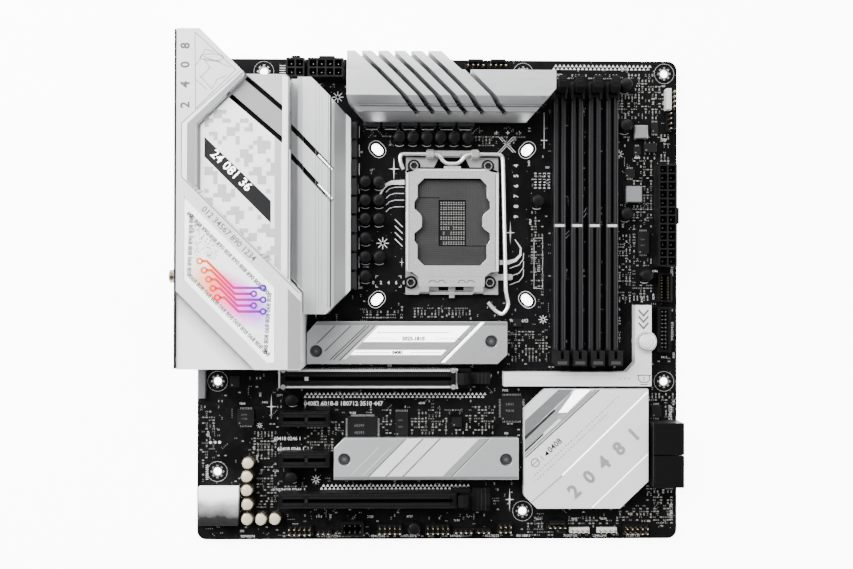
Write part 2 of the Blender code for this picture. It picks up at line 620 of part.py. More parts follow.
def io_shroud():
    """Cover over the rear ports: a shell open below and towards the shield, with a sunk panel."""
    outline = [(-3.6, 88.6), (55.3, 88.6), (55.3, 125.0), (48.9, 131.6), (48.9, 228.2),
               (47.6, 229.6), (28.4, 229.6), (27.6, 230.4), (7.2, 250.5), (-3.6, 250.5)]
    inside = [(-5.0, 90.6), (53.3, 90.6), (53.3, 124.2), (46.9, 130.8), (46.9, 227.6),
              (27.6, 227.6), (6.4, 248.5), (-5.0, 248.5)]
    shroud = plan("io_shroud", "white_cover", outline, (0.5, SHROUD_TOP))
    cut(shroud, plan("shroud_hollow", "white_cover", inside, (0.0, PANEL_TOP - SHROUD_WALL)))
    lower = [(-5.2, 90.4), (53.5, 90.4), (53.5, 121.0), (-5.2, 179.7)]
    cut(shroud, plan("lower_hollow", "white_cover", lower, (30.0, 36.6)))
    panel = [(5.4, 174.0), (5.4, 205.2), (27.8, 227.8), (27.8, 231.0), (50.0, 231.0), (50.0, 130.4)]
    cut(shroud, plan("sunk_panel", "white_cover", panel, (PANEL_TOP, SHROUD_TOP + 1.0)))
    corner = [(-5.0, 87.0), (35.2, 87.0), (-5.0, 127.2)]
    cut(shroud, plan("sunk_corner", "white_cover", corner, (38.4, SHROUD_TOP + 1.0)))
    seat = [(0.0, 130.8), (39.2, 91.6), (43.2, 91.6), (43.2, 127.6), (0.0, 170.8)]
    cut(shroud, plan("window_seat", "white_cover", seat, (38.8, SHROUD_TOP + 1.0)))
    cut(shroud, diagonal_cutter((27.0, 229.3), (50.4, 209.6), 2.3, (30.0, 37.0)))
    cut(shroud, diagonal_cutter((19.8, 220.5), (50.4, 194.4), 2.3, (30.0, 37.0)))
    window = [(0.4, 131.0), (39.4, 92.0), (42.8, 92.0), (42.8, 127.4), (0.4, 169.9)]
    plan("shroud_window", "lit_window", window, (39.1, 40.3))


def port_slots(y, z, width, height, tongue, front=-6.5, back=5.0):
    """The two gaps above and below a port's tongue, as box ranges."""
    span = (y - width / 2, y + width / 2)
    return [((front, back), span, (z - height / 2, z - tongue / 2)),
            ((front, back), span, (z + tongue / 2, z + height / 2))]


def display_ports():
    """Two display ports one above the other, and the housing of the two push switches beside them."""
    body = boxes("display_ports", "dark_steel", ((-5.4, 11.5), (224.0, 242.0), (GAP, 20.5)))
    slots = port_slots(233.0, 5.2, 15.4, 4.8, 2.0) + port_slots(233.0, 14.4, 14.4, 4.8, 2.0)
    cut(body, boxes("display_slots", "dark_steel", *slots))
    unite(body, boxes("switch_housing", "black_plastic", ((1.2, 8.0), (212.5, 224.6), (GAP, 24.5))))


def usb_ports():
    body = boxes("usb_ports", "steel", ((-5.4, 16.0), (176.0, 209.0), (GAP, 16.6)))
    slots = []
    for y in (184.2, 200.8):
        for z in (4.6, 12.2):
            slots += port_slots(y, z, 12.5, 5.1, 1.9)
    cut(body, boxes("usb_slots", "steel", *slots))


def lan_port():
    """A network port on top of two USB ports."""
    body = boxes("lan_port", "steel", ((-5.4, 17.0), (153.0, 169.4), (GAP, 30.0)))
    slots = port_slots(161.2, 4.6, 12.5, 5.1, 1.9) + port_slots(161.2, 12.2, 12.5, 5.1, 1.9)
    slots.append(((-6.5, 8.0), (155.2, 167.2), (17.6, 26.2)))
    cut(body, boxes("lan_slots", "steel", *slots))


def antenna_posts():
    body = boxes("antenna_posts", "bright_steel", ((-3.3, 9.0), (128.0, 138.0), (GAP, 32.0)))
    length = -2.5 - POST_END
    for z in (11.0, 26.0):
        post = turned("post", "bright_steel",
                      [(0.0, length), (3.1, length), (3.1, 0.4), (2.7, 0.0), (0.0, 0.0)],
                      (POST_END, 133.0, z), "X")
        unite(body, post)


def audio_jacks():
    body = boxes("audio_jacks", "black_plastic", ((-5.4, 14.0), (94.0, 121.0), (GAP, 33.0)))
    for y in (100.7, 114.3):
        for z in (5.6, 16.6, 27.6):
            jack = turned("jack", "black_plastic",
                          [(0.0, 11.0), (1.9, 11.0), (1.9, 0.0), (0.0, 0.0)], (-6.0, y, z), "X")
            cut(body, jack)


def io_shield():
    """The steel plate that fills the case's opening, cut out for every port, post and button."""
    shield = boxes("io_shield", "dark_steel", (SHIELD_X, (89.0, 250.1), (-BOARD_TOP, 39.8)))
    x = (SHIELD_X[0] - 1.0, SHIELD_X[1] + 1.0)
    blocks = [((224.0, 242.0), 20.5), ((176.0, 209.0), 16.6), ((153.0, 169.4), 30.0),
              ((94.0, 121.0), 33.0)]
    openings = [(x, (y[0] - 0.4, y[1] + 0.4), (-0.1, top + 0.4)) for y, top in blocks]
    cut(shield, boxes("port_openings", "dark_steel", *openings))
    rounds = [(133.0, z, 3.5) for z in (11.0, 26.0)] + [(BUTTON_Y, z, 2.35) for z in BUTTON_Z]
    for y, z, radius in rounds:
        hole = turned("round_opening", "dark_steel",
                      [(0.0, 3.0), (radius, 3.0), (radius, 0.0), (0.0, 0.0)], (x[0], y, z), "X")
        cut(shield, hole)


def io_buttons():
    """Two push buttons that travel into the shield."""
    profile = [(0.0, 6.2), (2.0, 6.2), (2.0, 0.3), (1.7, 0.0), (0.0, 0.0)]
    button = turned("button_pattern", "black_plastic", profile, (-6.2, BUTTON_Y, BUTTON_Z[0]), "X")
    button.rotation_euler = (0.0, 0.0, 0.0)
    mesh = baked_mesh(button, smooth=True)
    mesh.transform(Matrix.Rotation(math.radians(90), 4, "Y"))
    hide_as_cutter(button)
    for number, z in enumerate(BUTTON_Z):
        obj = bpy.data.objects.new("io_button_%d" % (number + 1), mesh)
        obj.location = place(-6.2, BUTTON_Y, z)
        PARTS.objects.link(obj)


# --------------------------------------------------------------------------- rail and connectors

def release_rail():
    """White L-shaped cover rail, and the push button in its collar that frees the upper card."""
    outline = [(154.6, 78.4), (229.2, 78.4), (229.2, 119.2), (221.0, 119.2), (221.0, 90.2),
               (216.6, 85.4), (154.6, 85.4)]
    rail = plan("release_rail", "white_cover", outline, (GAP, 9.0))
    unite(rail, plan("collar", "white_cover", circle(RELEASE, 5.5, 24), (GAP, 9.7)))
    cut(rail, plan("button_bore", "white_cover", circle(RELEASE, 4.35, 24), (-1.0, 12.0)))
    profile = [(0.0, 14.2), (3.3, 14.2), (4.0, 13.5), (4.0, 4.2), (0.0, 4.2)]
    button = turned("release_pattern", "white_cover", profile, (*RELEASE, 0.0))
    copies(button, ["release_button"], [(0.0, 0.0, 0.0)], smooth=True)


def power_socket(name, x, y, columns, rows, tab):
    """A power socket with one square cavity for each pin and a latch tab on one side."""
    body = boxes(name, "black_plastic", (x, y, (GAP, 13.1)))
    pitch = 4.2
    half = 1.7
    cavities = []
    for column in range(columns):
        for row in range(rows):
            cx = middle(x) + (column - (columns - 1) / 2) * pitch
            cy = middle(y) + (row - (rows - 1) / 2) * pitch
            cavities.append(((cx - half, cx + half), (cy - half, cy + half), (4.0, 14.0)))
    cut(body, boxes(name + "_cavities", "black_plastic", *cavities))
    unite(body, boxes(name + "_tab", "black_plastic", tab))


def power_sockets():
    power_socket("power_24pin", (231.8, 241.2), (138.6, 190.0), 2, 12,
                 ((240.6, 242.4), (160.2, 168.2), (2.0, 12.0)))
    power_socket("power_8pin", (56.2, 74.1), (232.6, 242.2), 4, 2,
                 ((61.8, 69.6), (241.6, 243.4), (2.0, 12.0)))
    power_socket("power_4pin", (45.5, 54.7), (232.6, 242.2), 2, 2,
                 ((48.2, 52.4), (241.6, 243.4), (2.0, 12.0)))


def sata_ports():
    """Two blocks of stacked drive ports facing off the board's right edge."""
    for number, y in enumerate([(28.2, 44.1), (44.6, 60.5)]):
        name = "sata_ports_%d" % (number + 1)
        body = boxes(name, "black_plastic", ((229.0, DRIVE_PORT_END), y, (GAP, 15.5)))
        mid = middle(y)
        slots = [((237.0, 246.0), (mid - 6.2, mid + 6.2), (z - 1.7, z + 1.7)) for z in (4.4, 11.6)]
        cut(body, boxes(name + "_slots", "black_plastic", *slots))


def usb3_header():
    body = boxes("usb3_header", "black_plastic", ((232.6, 239.1), (95.5, 118.2), (GAP, 8.8)))
    cut(body, boxes("header_cavity", "black_plastic", ((233.9, 237.8), (96.8, 116.9), (1.6, 10.0))))


def audio_shield():
    boxes("audio_shield", "bright_steel", ((1.4, 21.2), (8.0, 27.4), (GAP, 4.8)))


def coin_cell():
    profile = [(0.0, 4.0), (8.8, 4.0), (8.8, 3.7), (10.0, 3.7), (10.0, 0.8), (0.0, 0.8)]
    cell = turned("cell_pattern", "bright_steel", profile, (38.0, 108.0, 0.0))
    copies(cell, ["coin_cell"], [(0.0, 0.0, 0.0)], smooth=True)


clear_scene()
PARTS = new_collection("motherboard")
CUTTERS = new_collection("cutters")

printed_board()
socket_backplate()
socket_housing()
socket_frame()
load_plate()
load_lever()
socket_screws()
memory_slots()
memory_latches()
card_slots()
card_latches()
m2_bays()
chipset()
left_power_heatsink()
top_power_heatsink()
io_shroud()
display_ports()
usb_ports()
lan_port()
antenna_posts()
audio_jacks()
io_shield()
io_buttons()
release_rail()
power_sockets()
sata_ports()
usb3_header()
audio_shield()
coin_cell()
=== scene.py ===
"""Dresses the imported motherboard: finishes, small parts, print, light and camera.

Positions are in board millimetres: x from the left edge, y from the lower edge, z up from the
component side of the board. Shape turns them into metres in the row's frame.
"""

import math
import random

import bpy
from mathutils import Matrix, Vector


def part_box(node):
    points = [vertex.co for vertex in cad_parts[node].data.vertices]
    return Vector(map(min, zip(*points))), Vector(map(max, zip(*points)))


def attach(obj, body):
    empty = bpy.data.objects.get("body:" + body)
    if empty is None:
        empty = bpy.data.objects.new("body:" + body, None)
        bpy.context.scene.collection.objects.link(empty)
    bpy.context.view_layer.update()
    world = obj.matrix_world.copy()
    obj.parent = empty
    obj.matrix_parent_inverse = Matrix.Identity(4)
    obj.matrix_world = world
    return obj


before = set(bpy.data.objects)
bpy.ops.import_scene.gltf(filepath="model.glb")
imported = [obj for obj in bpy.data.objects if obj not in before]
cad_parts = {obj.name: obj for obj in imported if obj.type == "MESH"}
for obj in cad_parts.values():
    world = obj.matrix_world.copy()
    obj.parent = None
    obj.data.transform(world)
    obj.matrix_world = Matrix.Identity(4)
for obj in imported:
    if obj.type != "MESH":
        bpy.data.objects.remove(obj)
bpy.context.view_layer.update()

MM = 0.001
CENTRE = Vector((117.4, 125.25, -4.2))
LIFT = 0.05
CHANCE = random.Random(7)


# ---------------------------------------------------------------------------- outlines

def about(middle, half):
    """The span that reaches half to each side of its middle."""
    return middle - half, middle + half


def rectangle(x, y):
    return [(x[0], y[0]), (x[1], y[0]), (x[1], y[1]), (x[0], y[1])]


def arc(centre, radius, start, end, steps):
    angles = [math.radians(start + (end - start) * i / steps) for i in range(steps + 1)]
    return [(centre[0] + radius * math.cos(a), centre[1] + radius * math.sin(a)) for a in angles]


def circle(centre, radius, steps=16):
    return arc(centre, radius, 0.0, 360.0, steps)[:-1]


def offset(outline, distance, closed=True):
    """The outline moved to its left by a distance, with mitred corners."""
    count = len(outline)
    points = []
    for i in range(count):
        here = Vector(outline[i])
        before = Vector(outline[i - 1]) if closed or i > 0 else None
        after = Vector(outline[(i + 1) % count]) if closed or i < count - 1 else None
        sides = []
        if before is not None:
            sides.append((here - before).normalized())
        if after is not None:
            sides.append((after - here).normalized())
        normals = [Vector((-s.y, s.x)) for s in sides]
        middle = sum(normals, Vector((0.0, 0.0))).normalized()
        scale = distance / max(0.3, middle.dot(normals[0]))
        points.append(tuple(here + middle * scale))
    return points


# ---------------------------------------------------------------------------- meshes

class Shape:
    """Faces collected in board millimetres. A face with no finish of its own has the shape's first."""

    def __init__(self, finish):
        self.finishes = [finish]
        self.points = []
        self.faces = []
        self.slots = []
        self.where = Matrix.Identity(4)

    def add(self, points, faces, finish=None):
        finish = finish or self.finishes[0]
        if finish not in self.finishes:
            self.finishes.append(finish)
        start = len(self.points)
        self.points += [self.where @ Vector(p) for p in points]
        self.faces += [[start + i for i in face] for face in faces]
        self.slots += [self.finishes.index(finish)] * len(faces)

    def prism(self, outline, z, finish=None, chamfer=0.0, floor=False):
        """An upright prism. Its upper edge is chamfered, and its underside is left open."""
        count = len(outline)
        rings = [[(x, y, z[0]) for x, y in outline]]
        if chamfer:
            rings.append([(x, y, z[1] - chamfer) for x, y in outline])
            rings.append([(x, y, z[1]) for x, y in offset(outline, chamfer)])
        else:
            rings.append([(x, y, z[1]) for x, y in outline])
        faces = []
        for level in range(len(rings) - 1):
            for i in range(count):
                j = (i + 1) % count
                low, high = level * count, (level + 1) * count
                faces.append([low + i, low + j, high + j, high + i])
        last = (len(rings) - 1) * count
        faces.append([last + i for i in range(count)])
        if floor:
            faces.append(list(range(count))[::-1])
        self.add([p for ring in rings for p in ring], faces, finish)

    def box(self, x, y, z, finish=None, chamfer=0.0, floor=False):
        self.prism(rectangle(x, y), z, finish, chamfer, floor)

    def brick(self, centre, size, turn, z, finish=None, chamfer=0.0):
        """A box given by its centre, its size in plan and its turn in degrees."""
        spin = Matrix.Rotation(math.radians(turn), 2)
        half = [(-0.5, -0.5), (0.5, -0.5), (0.5, 0.5), (-0.5, 0.5)]
        outline = [Vector(centre) + spin @ Vector((u * size[0], v * size[1])) for u, v in half]
        self.prism(outline, z, finish, chamfer)

    def flat(self, outline, z=LIFT, finish=None):
        self.add([(x, y, z) for x, y in outline], [list(range(len(outline)))], finish)

    def stroke(self, points, width, z=LIFT, finish=None, closed=False):
        """A flat line of even width through the points."""
        left = offset(points, width / 2, closed)
        right = offset(points, -width / 2, closed)
        count = len(points)
        faces = []
        for i in range(count if closed else count - 1):
            j = (i + 1) % count
            faces.append([count + i, count + j, j, i])
        self.add([(x, y, z) for x, y in left + right], faces, finish)

    def ring(self, centre, inner, outer, z=LIFT, finish=None, steps=24):
        self.stroke(circle(centre, (inner + outer) / 2, steps), outer - inner, z, finish, True)

    def turned(self, centre, profile, finish=None, steps=16, axis="Z"):
        """A profile of (radius, height) pairs spun about an axis through the centre."""
        turn = {"Z": Matrix.Identity(4), "X": Matrix.Rotation(math.pi / 2, 4, "Y")}[axis]
        move = Matrix.Translation(centre) @ turn
        points = []
        for radius, height in profile:
            for i in range(steps):
                angle = 2 * math.pi * i / steps
                points.append(move @ Vector((radius * math.cos(angle), radius * math.sin(angle), height)))
        faces = []
        for level in range(len(profile) - 1):
            for i in range(steps):
                j = (i + 1) % steps
                low, high = level * steps, (level + 1) * steps
                faces.append([low + i, low + j, high + j, high + i])
        last = (len(profile) - 1) * steps
        faces.append([last + i for i in range(steps)])
        self.add(points, faces, finish)

    def make(self, name, slot, body="board"):
        """Makes the object, which rides on a body. The slot argument is not used."""
        mesh = bpy.data.meshes.new(name)
        mesh.from_pydata([(p - CENTRE) * MM for p in self.points], [], self.faces)
        for finish in self.finishes:
            mesh.materials.append(finish)
        mesh.polygons.foreach_set("material_index", self.slots)
        mesh.shade_smooth()
        mesh.set_sharp_from_angle(angle=math.radians(32))
        obj = bpy.data.objects.new(name, mesh)
        bpy.context.scene.collection.objects.link(obj)
        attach(obj, body)


def numerals(shape, text, corner, size, z=LIFT, finish=None, turn=0.0, bold=0.0):
    """Plain numerals laid flat, from Blender's own font, with their strokes widened by bold."""
    curve = bpy.data.curves.new("numerals", "FONT")
    curve.body = text
    curve.size = size
    curve.offset = bold
    curve.resolution_u = 2
    holder = bpy.data.objects.new("numerals", curve)
    bpy.context.scene.collection.objects.link(holder)
    mesh = bpy.data.meshes.new_from_object(holder)
    spin = Matrix.Rotation(math.radians(turn), 4, "Z")
    move = Matrix.Translation((*corner, z)) @ spin
    shape.add([move @ v.co for v in mesh.vertices], [list(p.vertices) for p in mesh.polygons], finish)
    bpy.data.objects.remove(holder)
    bpy.data.meshes.remove(mesh)


# ---------------------------------------------------------------------------- finishes

class Graph:
    """A material's node tree, with a short way to add nodes and link them."""

    def __init__(self, name):
        self.material = bpy.data.materials.new(name)
        self.material.use_nodes = True
        self.tree = self.material.node_tree
        self.shader = self.tree.nodes["Principled BSDF"]
        self.place = self.node("TexCoord").outputs["Object"]

    def node(self, kind, values=(), **options):
        made = self.tree.nodes.new("ShaderNode" + kind)
        for key, value in options.items():
            setattr(made, key, value)
        for key, value in dict(values).items():
            self.put(made.inputs[key], value)
        return made

    def put(self, socket, value):
        if isinstance(value, bpy.types.NodeSocket):
            self.tree.links.new(value, socket)
        else:
            socket.default_value = value

    def set(self, **values):
        for key, value in values.items():
            self.put(self.shader.inputs[key.replace("_", " ")], value)

    def stretched(self, scale):
        """Object coordinates in millimetres, scaled along each axis."""
        return self.node("Mapping", {"Vector": self.place, "Scale": [s * 1000 for s in scale]}).outputs[0]

    def noise(self, scale, detail=3.0, place=None):
        values = {"Vector": place or self.stretched((1, 1, 1)), "Scale": scale, "Detail": detail}
        return self.node("TexNoise", values).outputs["Fac"]

    def cells(self, scale, place=None, **options):
        values = {"Vector": place or self.stretched((1, 1, 1)), "Scale": scale}
        return self.node("TexVoronoi", values, **options)

    def remap(self, value, low=0.3, high=0.7, start=0.0, end=1.0):
        values = {"Value": value, 1: low, 2: high, 3: start, 4: end}
        return self.node("MapRange", values).outputs["Result"]

    def spread(self, noise, start, end):
        """Takes the usual range of a noise to a range of values."""
        return self.remap(noise, 0.3, 0.7, start, end)

    def math(self, operation, first, second=0.0):
        return self.node("Math", {0: first, 1: second}, operation=operation).outputs[0]

    def mix(self, share, first, second):
        made = self.node("Mix", {0: share}, data_type="RGBA")
        self.put(made.inputs[6], first)
        self.put(made.inputs[7], second)
        return made.outputs[2]

    def ramp(self, value, stops):
        """A colour ramp given as (place, colour) pairs in rising order."""
        made = self.node("ValToRGB", {0: value})
        elements = made.color_ramp.elements
        while len(elements) < len(stops):
            elements.new(0.5)
        for element, (spot, colour) in zip(elements, stops):
            element.position = spot
            element.color = (*colour, 1.0)
        return made.outputs[0]

    def bump(self, height, distance, strength=1.0):
        values = {"Height": height, "Distance": distance * MM, "Strength": strength}
        self.set(Normal=self.node("Bump", values).outputs[0])


def shade(colour, factor):
    return [c * factor for c in colour[:3]] + [1.0]


def grained(name, colour, rough, metal=0.0, grain=6.0, depth=0.01, drift=0.08, stretch=(1, 1, 1),
            gloss=0.5, glow=0.0):
    """A finish with a slow drift of tone, a fine grain and wear in its roughness."""
    g = Graph(name)
    slow = g.noise(0.05, 2.0)
    fine = g.noise(grain, 4.0, g.stretched(stretch))
    tone = g.mix(g.remap(slow), shade(colour, 1 - drift), shade(colour, 1 + drift))
    speck = g.mix(g.remap(fine, 0.35, 0.7), shade(colour, 1 - drift), tone)
    g.set(Base_Color=speck, Metallic=metal, Specular_IOR_Level=gloss)
    # A glow is painted light: the finish gives off its own colour though it is no lamp.
    if glow:
        g.set(Emission_Color=speck, Emission_Strength=glow)
    g.set(Roughness=g.spread(fine, rough * 0.85, min(1.0, rough * 1.15)))
    g.bump(fine, depth)
    return g.material


def solder_mask():
    """Near-black mask over copper tracks that run at 45 degrees, with small vias."""
    g = Graph("board_black")
    tilt = g.cells(0.16, distance="MANHATTAN", feature="F1").outputs["Distance"]
    lanes = g.math("PINGPONG", g.math("MULTIPLY", tilt, 9.0), 0.5)
    track = g.remap(lanes, 0.2, 0.3)
    zone = g.remap(g.noise(0.05, 2.0), 0.42, 0.5)
    copper = g.math("MULTIPLY", track, zone)
    via = g.cells(0.42, feature="F1")
    dot = g.remap(via.outputs["Distance"], 0.075, 0.1, 1.0, 0.0)
    picked = g.math("GREATER_THAN", g.node("SeparateColor", {0: via.outputs["Color"]}).outputs[0], 0.62)
    shown = g.math("MULTIPLY", dot, picked)
    mask = g.mix(copper, [0.0022, 0.0022, 0.0025, 1.0], [0.0060, 0.0060, 0.0068, 1.0])
    g.set(Base_Color=g.mix(shown, mask, [0.22, 0.22, 0.21, 1.0]), Specular_IOR_Level=0.05)
    g.set(Roughness=g.spread(g.noise(0.8), 0.34, 0.5))
    g.bump(g.math("ADD", copper, g.math("MULTIPLY", shown, -1.5)), 0.03)
    return g.material


def printed_white():
    """White legend ink, thin and slightly uneven."""
    g = Graph("print_white")
    patchy = g.remap(g.noise(3.0, 4.0), 0.25, 0.5, 0.72, 1.0)
    g.set(Base_Color=g.mix(patchy, [0.36, 0.36, 0.37, 1.0], [0.66, 0.66, 0.67, 1.0]), Roughness=0.6)
    g.bump(g.noise(6.0), 0.01)
    return g.material


def satin_metal(name, colour, rough, along, drift=0.07, shade_zones=None, metal=0.72):
    """Blasted and brushed metal whose fine lines run along one board axis.

    Shade zones are an axis and (board millimetre, share) pairs of painted shade that darken the tone across
    a stepped piece, where its steps and slopes take less light.
    """
    g = Graph(name)
    stretch = {"x": (0.12, 4.0, 1.5), "y": (4.0, 0.12, 1.5), "none": (5.0, 5.0, 5.0)}[along]
    lines = g.noise(1.2, 5.0, g.stretched(stretch))
    slow = g.noise(0.03, 2.0)
    speck = g.noise(7.0, 2.0)
    tone = g.mix(g.remap(slow), shade(colour, 1 - drift), shade(colour, 1.02))
    tone = g.mix(g.remap(lines, 0.35, 0.65, 0.0, 0.6), shade(colour, 1 - drift), tone)
    # Painted shade: the tone is darkened by place along one axis.
    if shade_zones:
        axis, stops = shade_zones
        low, high = stops[0][0], stops[-1][0]
        place = g.node("SeparateXYZ", {0: g.stretched((1, 1, 1))}).outputs[axis]
        across = g.remap(place, low - CENTRE[axis], high - CENTRE[axis], 0.0, 1.0)
        share = g.ramp(across, [((spot - low) / (high - low), [level] * 3) for spot, level in stops])
        tone = g.mix(share, [0.0, 0.0, 0.0, 1.0], tone)
    g.set(Base_Color=tone, Metallic=metal, Specular_IOR_Level=0.5)
    g.set(Roughness=g.remap(g.math("ADD", lines, speck), 0.7, 1.3, rough * 0.8, rough * 1.2))
    g.bump(g.math("ADD", lines, g.math("MULTIPLY", speck, 0.5)), 0.012)
    return g.material


def pearl_white():
    """White paint with a fine metallic flake over a smooth moulding."""
    g = Graph("white_cover")
    flake = g.cells(6.0, feature="F1").outputs["Color"]
    bright = g.node("SeparateColor", {0: flake}).outputs[0]
    slow = g.noise(0.02, 2.0)
    tone = g.mix(g.remap(bright, 0.0, 1.0), [0.73, 0.73, 0.745, 1.0], [0.84, 0.84, 0.855, 1.0])
    tone = g.mix(g.spread(slow, 0.0, 0.35), tone, [0.70, 0.70, 0.72, 1.0])
    g.set(Base_Color=tone, Metallic=0.12, Roughness=g.remap(bright, 0.0, 1.0, 0.3, 0.42))
    g.bump(g.noise(4.0), 0.006)
    return g.material


def lit_plate():
    """White translucent plate, brighter and warmer where the light behind it sits."""
    g = Graph("lit_window")
    haze = g.noise(0.09, 3.0)
    tone = g.mix(g.remap(haze, 0.35, 0.65), [0.84, 0.84, 0.86, 1.0], [0.92, 0.92, 0.93, 1.0])
    g.set(Emission_Color=tone, Emission_Strength=1.8)
    g.set(Base_Color=tone, Roughness=g.spread(g.noise(2.0), 0.16, 0.24), Coat_Weight=0.4)
    g.bump(g.noise(1.0), 0.004)
    return g.material


def contact_field():
    """Grey plastic with a square grid of small dark pockets."""
    g = Graph("contact_grey")
    cell = g.cells(1.0 / 0.9, g.stretched((1, 1, 0.01)), distance="CHEBYCHEV", feature="F1")
    cell.inputs["Randomness"].default_value = 0.0
    wall = g.remap(cell.outputs["Distance"], 0.3, 0.42)
    grain = g.noise(3.0, 4.0)
    pocket = g.mix(grain, [0.0030, 0.0030, 0.0030, 1.0], [0.009, 0.009, 0.009, 1.0])
    g.set(Base_Color=g.mix(wall, pocket, [0.022, 0.022, 0.023, 1.0]))
    g.set(Roughness=g.spread(grain, 0.4, 0.6))
    g.bump(wall, 0.12)
    return g.material


def faded_foil():
    """Silver shield foil that darkens towards its lower edge, and glows with its own tone as painted light.
    """
    g = Graph("shield_foil_painted_glow")
    parts = g.node("SeparateXYZ", {0: g.stretched((1, 1, 1))}).outputs
    height = g.remap(parts[1], 8.0 - CENTRE.y, 27.4 - CENTRE.y, 0.0, 1.0)
    wavy = g.math("ADD", height, g.spread(g.noise(0.15), -0.06, 0.06))
    stops = [(0.0, 0.006), (0.2, 0.012), (0.5, 0.24), (0.75, 0.88), (1.0, 0.97)]
    tone = g.ramp(wavy, [(spot, (level, level, level)) for spot, level in stops])
    lines = g.noise(2.0, 4.0, g.stretched((0.1, 3.0, 1.0)))
    g.set(Base_Color=tone, Metallic=0.1, Roughness=g.spread(lines, 0.22, 0.36))
    # Painted light: the foil gives off its own tone though it is no lamp.
    g.set(Emission_Color=tone, Emission_Strength=1.6)
    g.bump(lines, 0.01)
    return g.material


def rainbow_glow():
    """Lit emblem ink that runs from orange at the left to violet at the right."""
    g = Graph("emblem_glow")
    parts = g.node("SeparateXYZ", {0: g.stretched((1, 1, 1))}).outputs
    across = g.remap(parts[0], 6.0 - CENTRE.x, 42.0 - CENTRE.x, 0.0, 1.0)
    wavy = g.math("ADD", across, g.spread(g.noise(0.2), -0.05, 0.05))
    colour = g.ramp(wavy, [(0.0, (0.95, 0.20, 0.0)), (0.25, (0.80, 0.02, 0.02)), (0.5, (0.55, 0.0, 0.16)),
                           (0.75, (0.20, 0.0, 0.42)), (1.0, (0.03, 0.005, 0.36))])
    g.set(Base_Color=colour, Emission_Color=colour, Emission_Strength=0.15)
    g.set(Roughness=g.spread(g.noise(2.0), 0.25, 0.35))
    g.bump(g.noise(1.5), 0.004)
    return g.material


BOARD = solder_mask()
INK = printed_white()
SILVER_X = satin_metal("silver_brushed_x", (0.66, 0.67, 0.685), 0.36, "x")
# The two tower finishes carry painted shade: darker bands where the heatsinks' slopes and steps take less
# light.
LEFT_TOWER_PAINTED_SHADE = satin_metal("silver_left_tower_painted_shade", (0.85, 0.86, 0.875), 0.36, "y", shade_zones=(0, [
    (49.3, 0.9), (68.2, 0.92), (70.4, 0.46), (75.5, 0.60), (75.7, 0.95), (77.9, 0.95)]))
TOP_TOWER_PAINTED_SHADE = satin_metal("silver_top_tower_painted_shade", (0.85, 0.86, 0.875), 0.36, "x", shade_zones=(1, [
    (210.7, 0.60), (213.7, 0.66), (220.1, 0.74), (220.3, 0.80), (232.7, 0.86), (232.9, 0.50),
    (242.2, 0.76)]))
SILVER_DIM = satin_metal("silver_dim", (0.30, 0.305, 0.315), 0.38, "x")
SILVER_PALE = satin_metal("silver_pale", (0.97, 0.97, 0.98), 0.34, "none", metal=0.4)
# Dark anodised metal for the screws and print, also laid as painted shade in cuts, grooves and at step
# edges.
SLATE_AND_SHADE = satin_metal("slate_anodised_and_painted_shade", (0.055, 0.055, 0.058), 0.4, "x")
STEEL = satin_metal("stamped_steel", (0.56, 0.56, 0.55), 0.3, "none")
BRIGHT_STEEL = satin_metal("nickel_steel", (0.93, 0.93, 0.92), 0.24, "none")
DARK_STEEL = satin_metal("black_steel", (0.022, 0.022, 0.024), 0.38, "none")
TIN = grained("solder_tin", (0.62, 0.62, 0.60), 0.25, 0.85, 5.0, 0.02)
GOLD = grained("gold_plate", (0.38, 0.32, 0.22), 0.25, 0.9, 5.0, 0.01)
WHITE = pearl_white()
WHITE_SHADE = grained("white_cover_shade", (0.28, 0.28, 0.29), 0.4, 0.1, 5.0, 0.005, 0.05)
# Painted shade for the cover's engraved lines, its fold and the lines along its bevel edges.
WHITE_DEEP_SHADE = grained("white_cover_deep_shade", (0.10, 0.10, 0.105), 0.4, 0.1, 5.0, 0.005, 0.06)
WINDOW = lit_plate()
GLOW = rainbow_glow()
BLACK = grained("black_plastic", (0.0040, 0.0040, 0.0043), 0.45, 0.0, 4.0, 0.02, 0.25, gloss=0.08)
# Near-black for painted shade in pockets, gaps, rims and under the load plate.
SHADE_BLACK = grained("black_painted_shade", (0.0012, 0.0012, 0.0013), 0.6, 0.0, 4.0, 0.02, 0.25, gloss=0.02)
CHARCOAL = grained("charcoal_plastic", (0.013, 0.013, 0.014), 0.5, 0.0, 5.0, 0.02, 0.15, gloss=0.12)
GREY = grained("grey_plastic", (0.11, 0.11, 0.115), 0.5, 0.0, 5.0, 0.02, 0.12)
IVORY = grained("white_plastic", (0.55, 0.55, 0.54), 0.45, 0.0, 5.0, 0.01, 0.06)
CHIP = grained("chip_epoxy", (0.0075, 0.0075, 0.008), 0.42, 0.0, 9.0, 0.01, 0.25, gloss=0.15)
CAN = grained("capacitor_can", (0.0045, 0.0045, 0.005), 0.35, 0.0, 4.0, 0.01, 0.15, gloss=0.12)
CREAM = grained("cream_foil", (0.74, 0.68, 0.52), 0.3, 0.25, 6.0, 0.01, 0.06)
FERRITE = grained("choke_ferrite", (0.040, 0.040, 0.043), 0.55, 0.0, 8.0, 0.04, 0.2, gloss=0.2)
CERAMIC = grained("capacitor_ceramic", (0.20, 0.185, 0.165), 0.45, 0.0, 7.0, 0.01, 0.12)
CONTACTS = contact_field()
FOIL_PAINTED_GLOW = faded_foil()
USB_BLUE = grained("port_blue", (0.02, 0.10, 0.42), 0.4, 0.0, 5.0, 0.01)
USB_RED = grained("port_red", (0.42, 0.02, 0.015), 0.4, 0.0, 5.0, 0.01)
LIME = grained("jack_lime", (0.20, 0.48, 0.06), 0.4, 0.0, 5.0, 0.01)
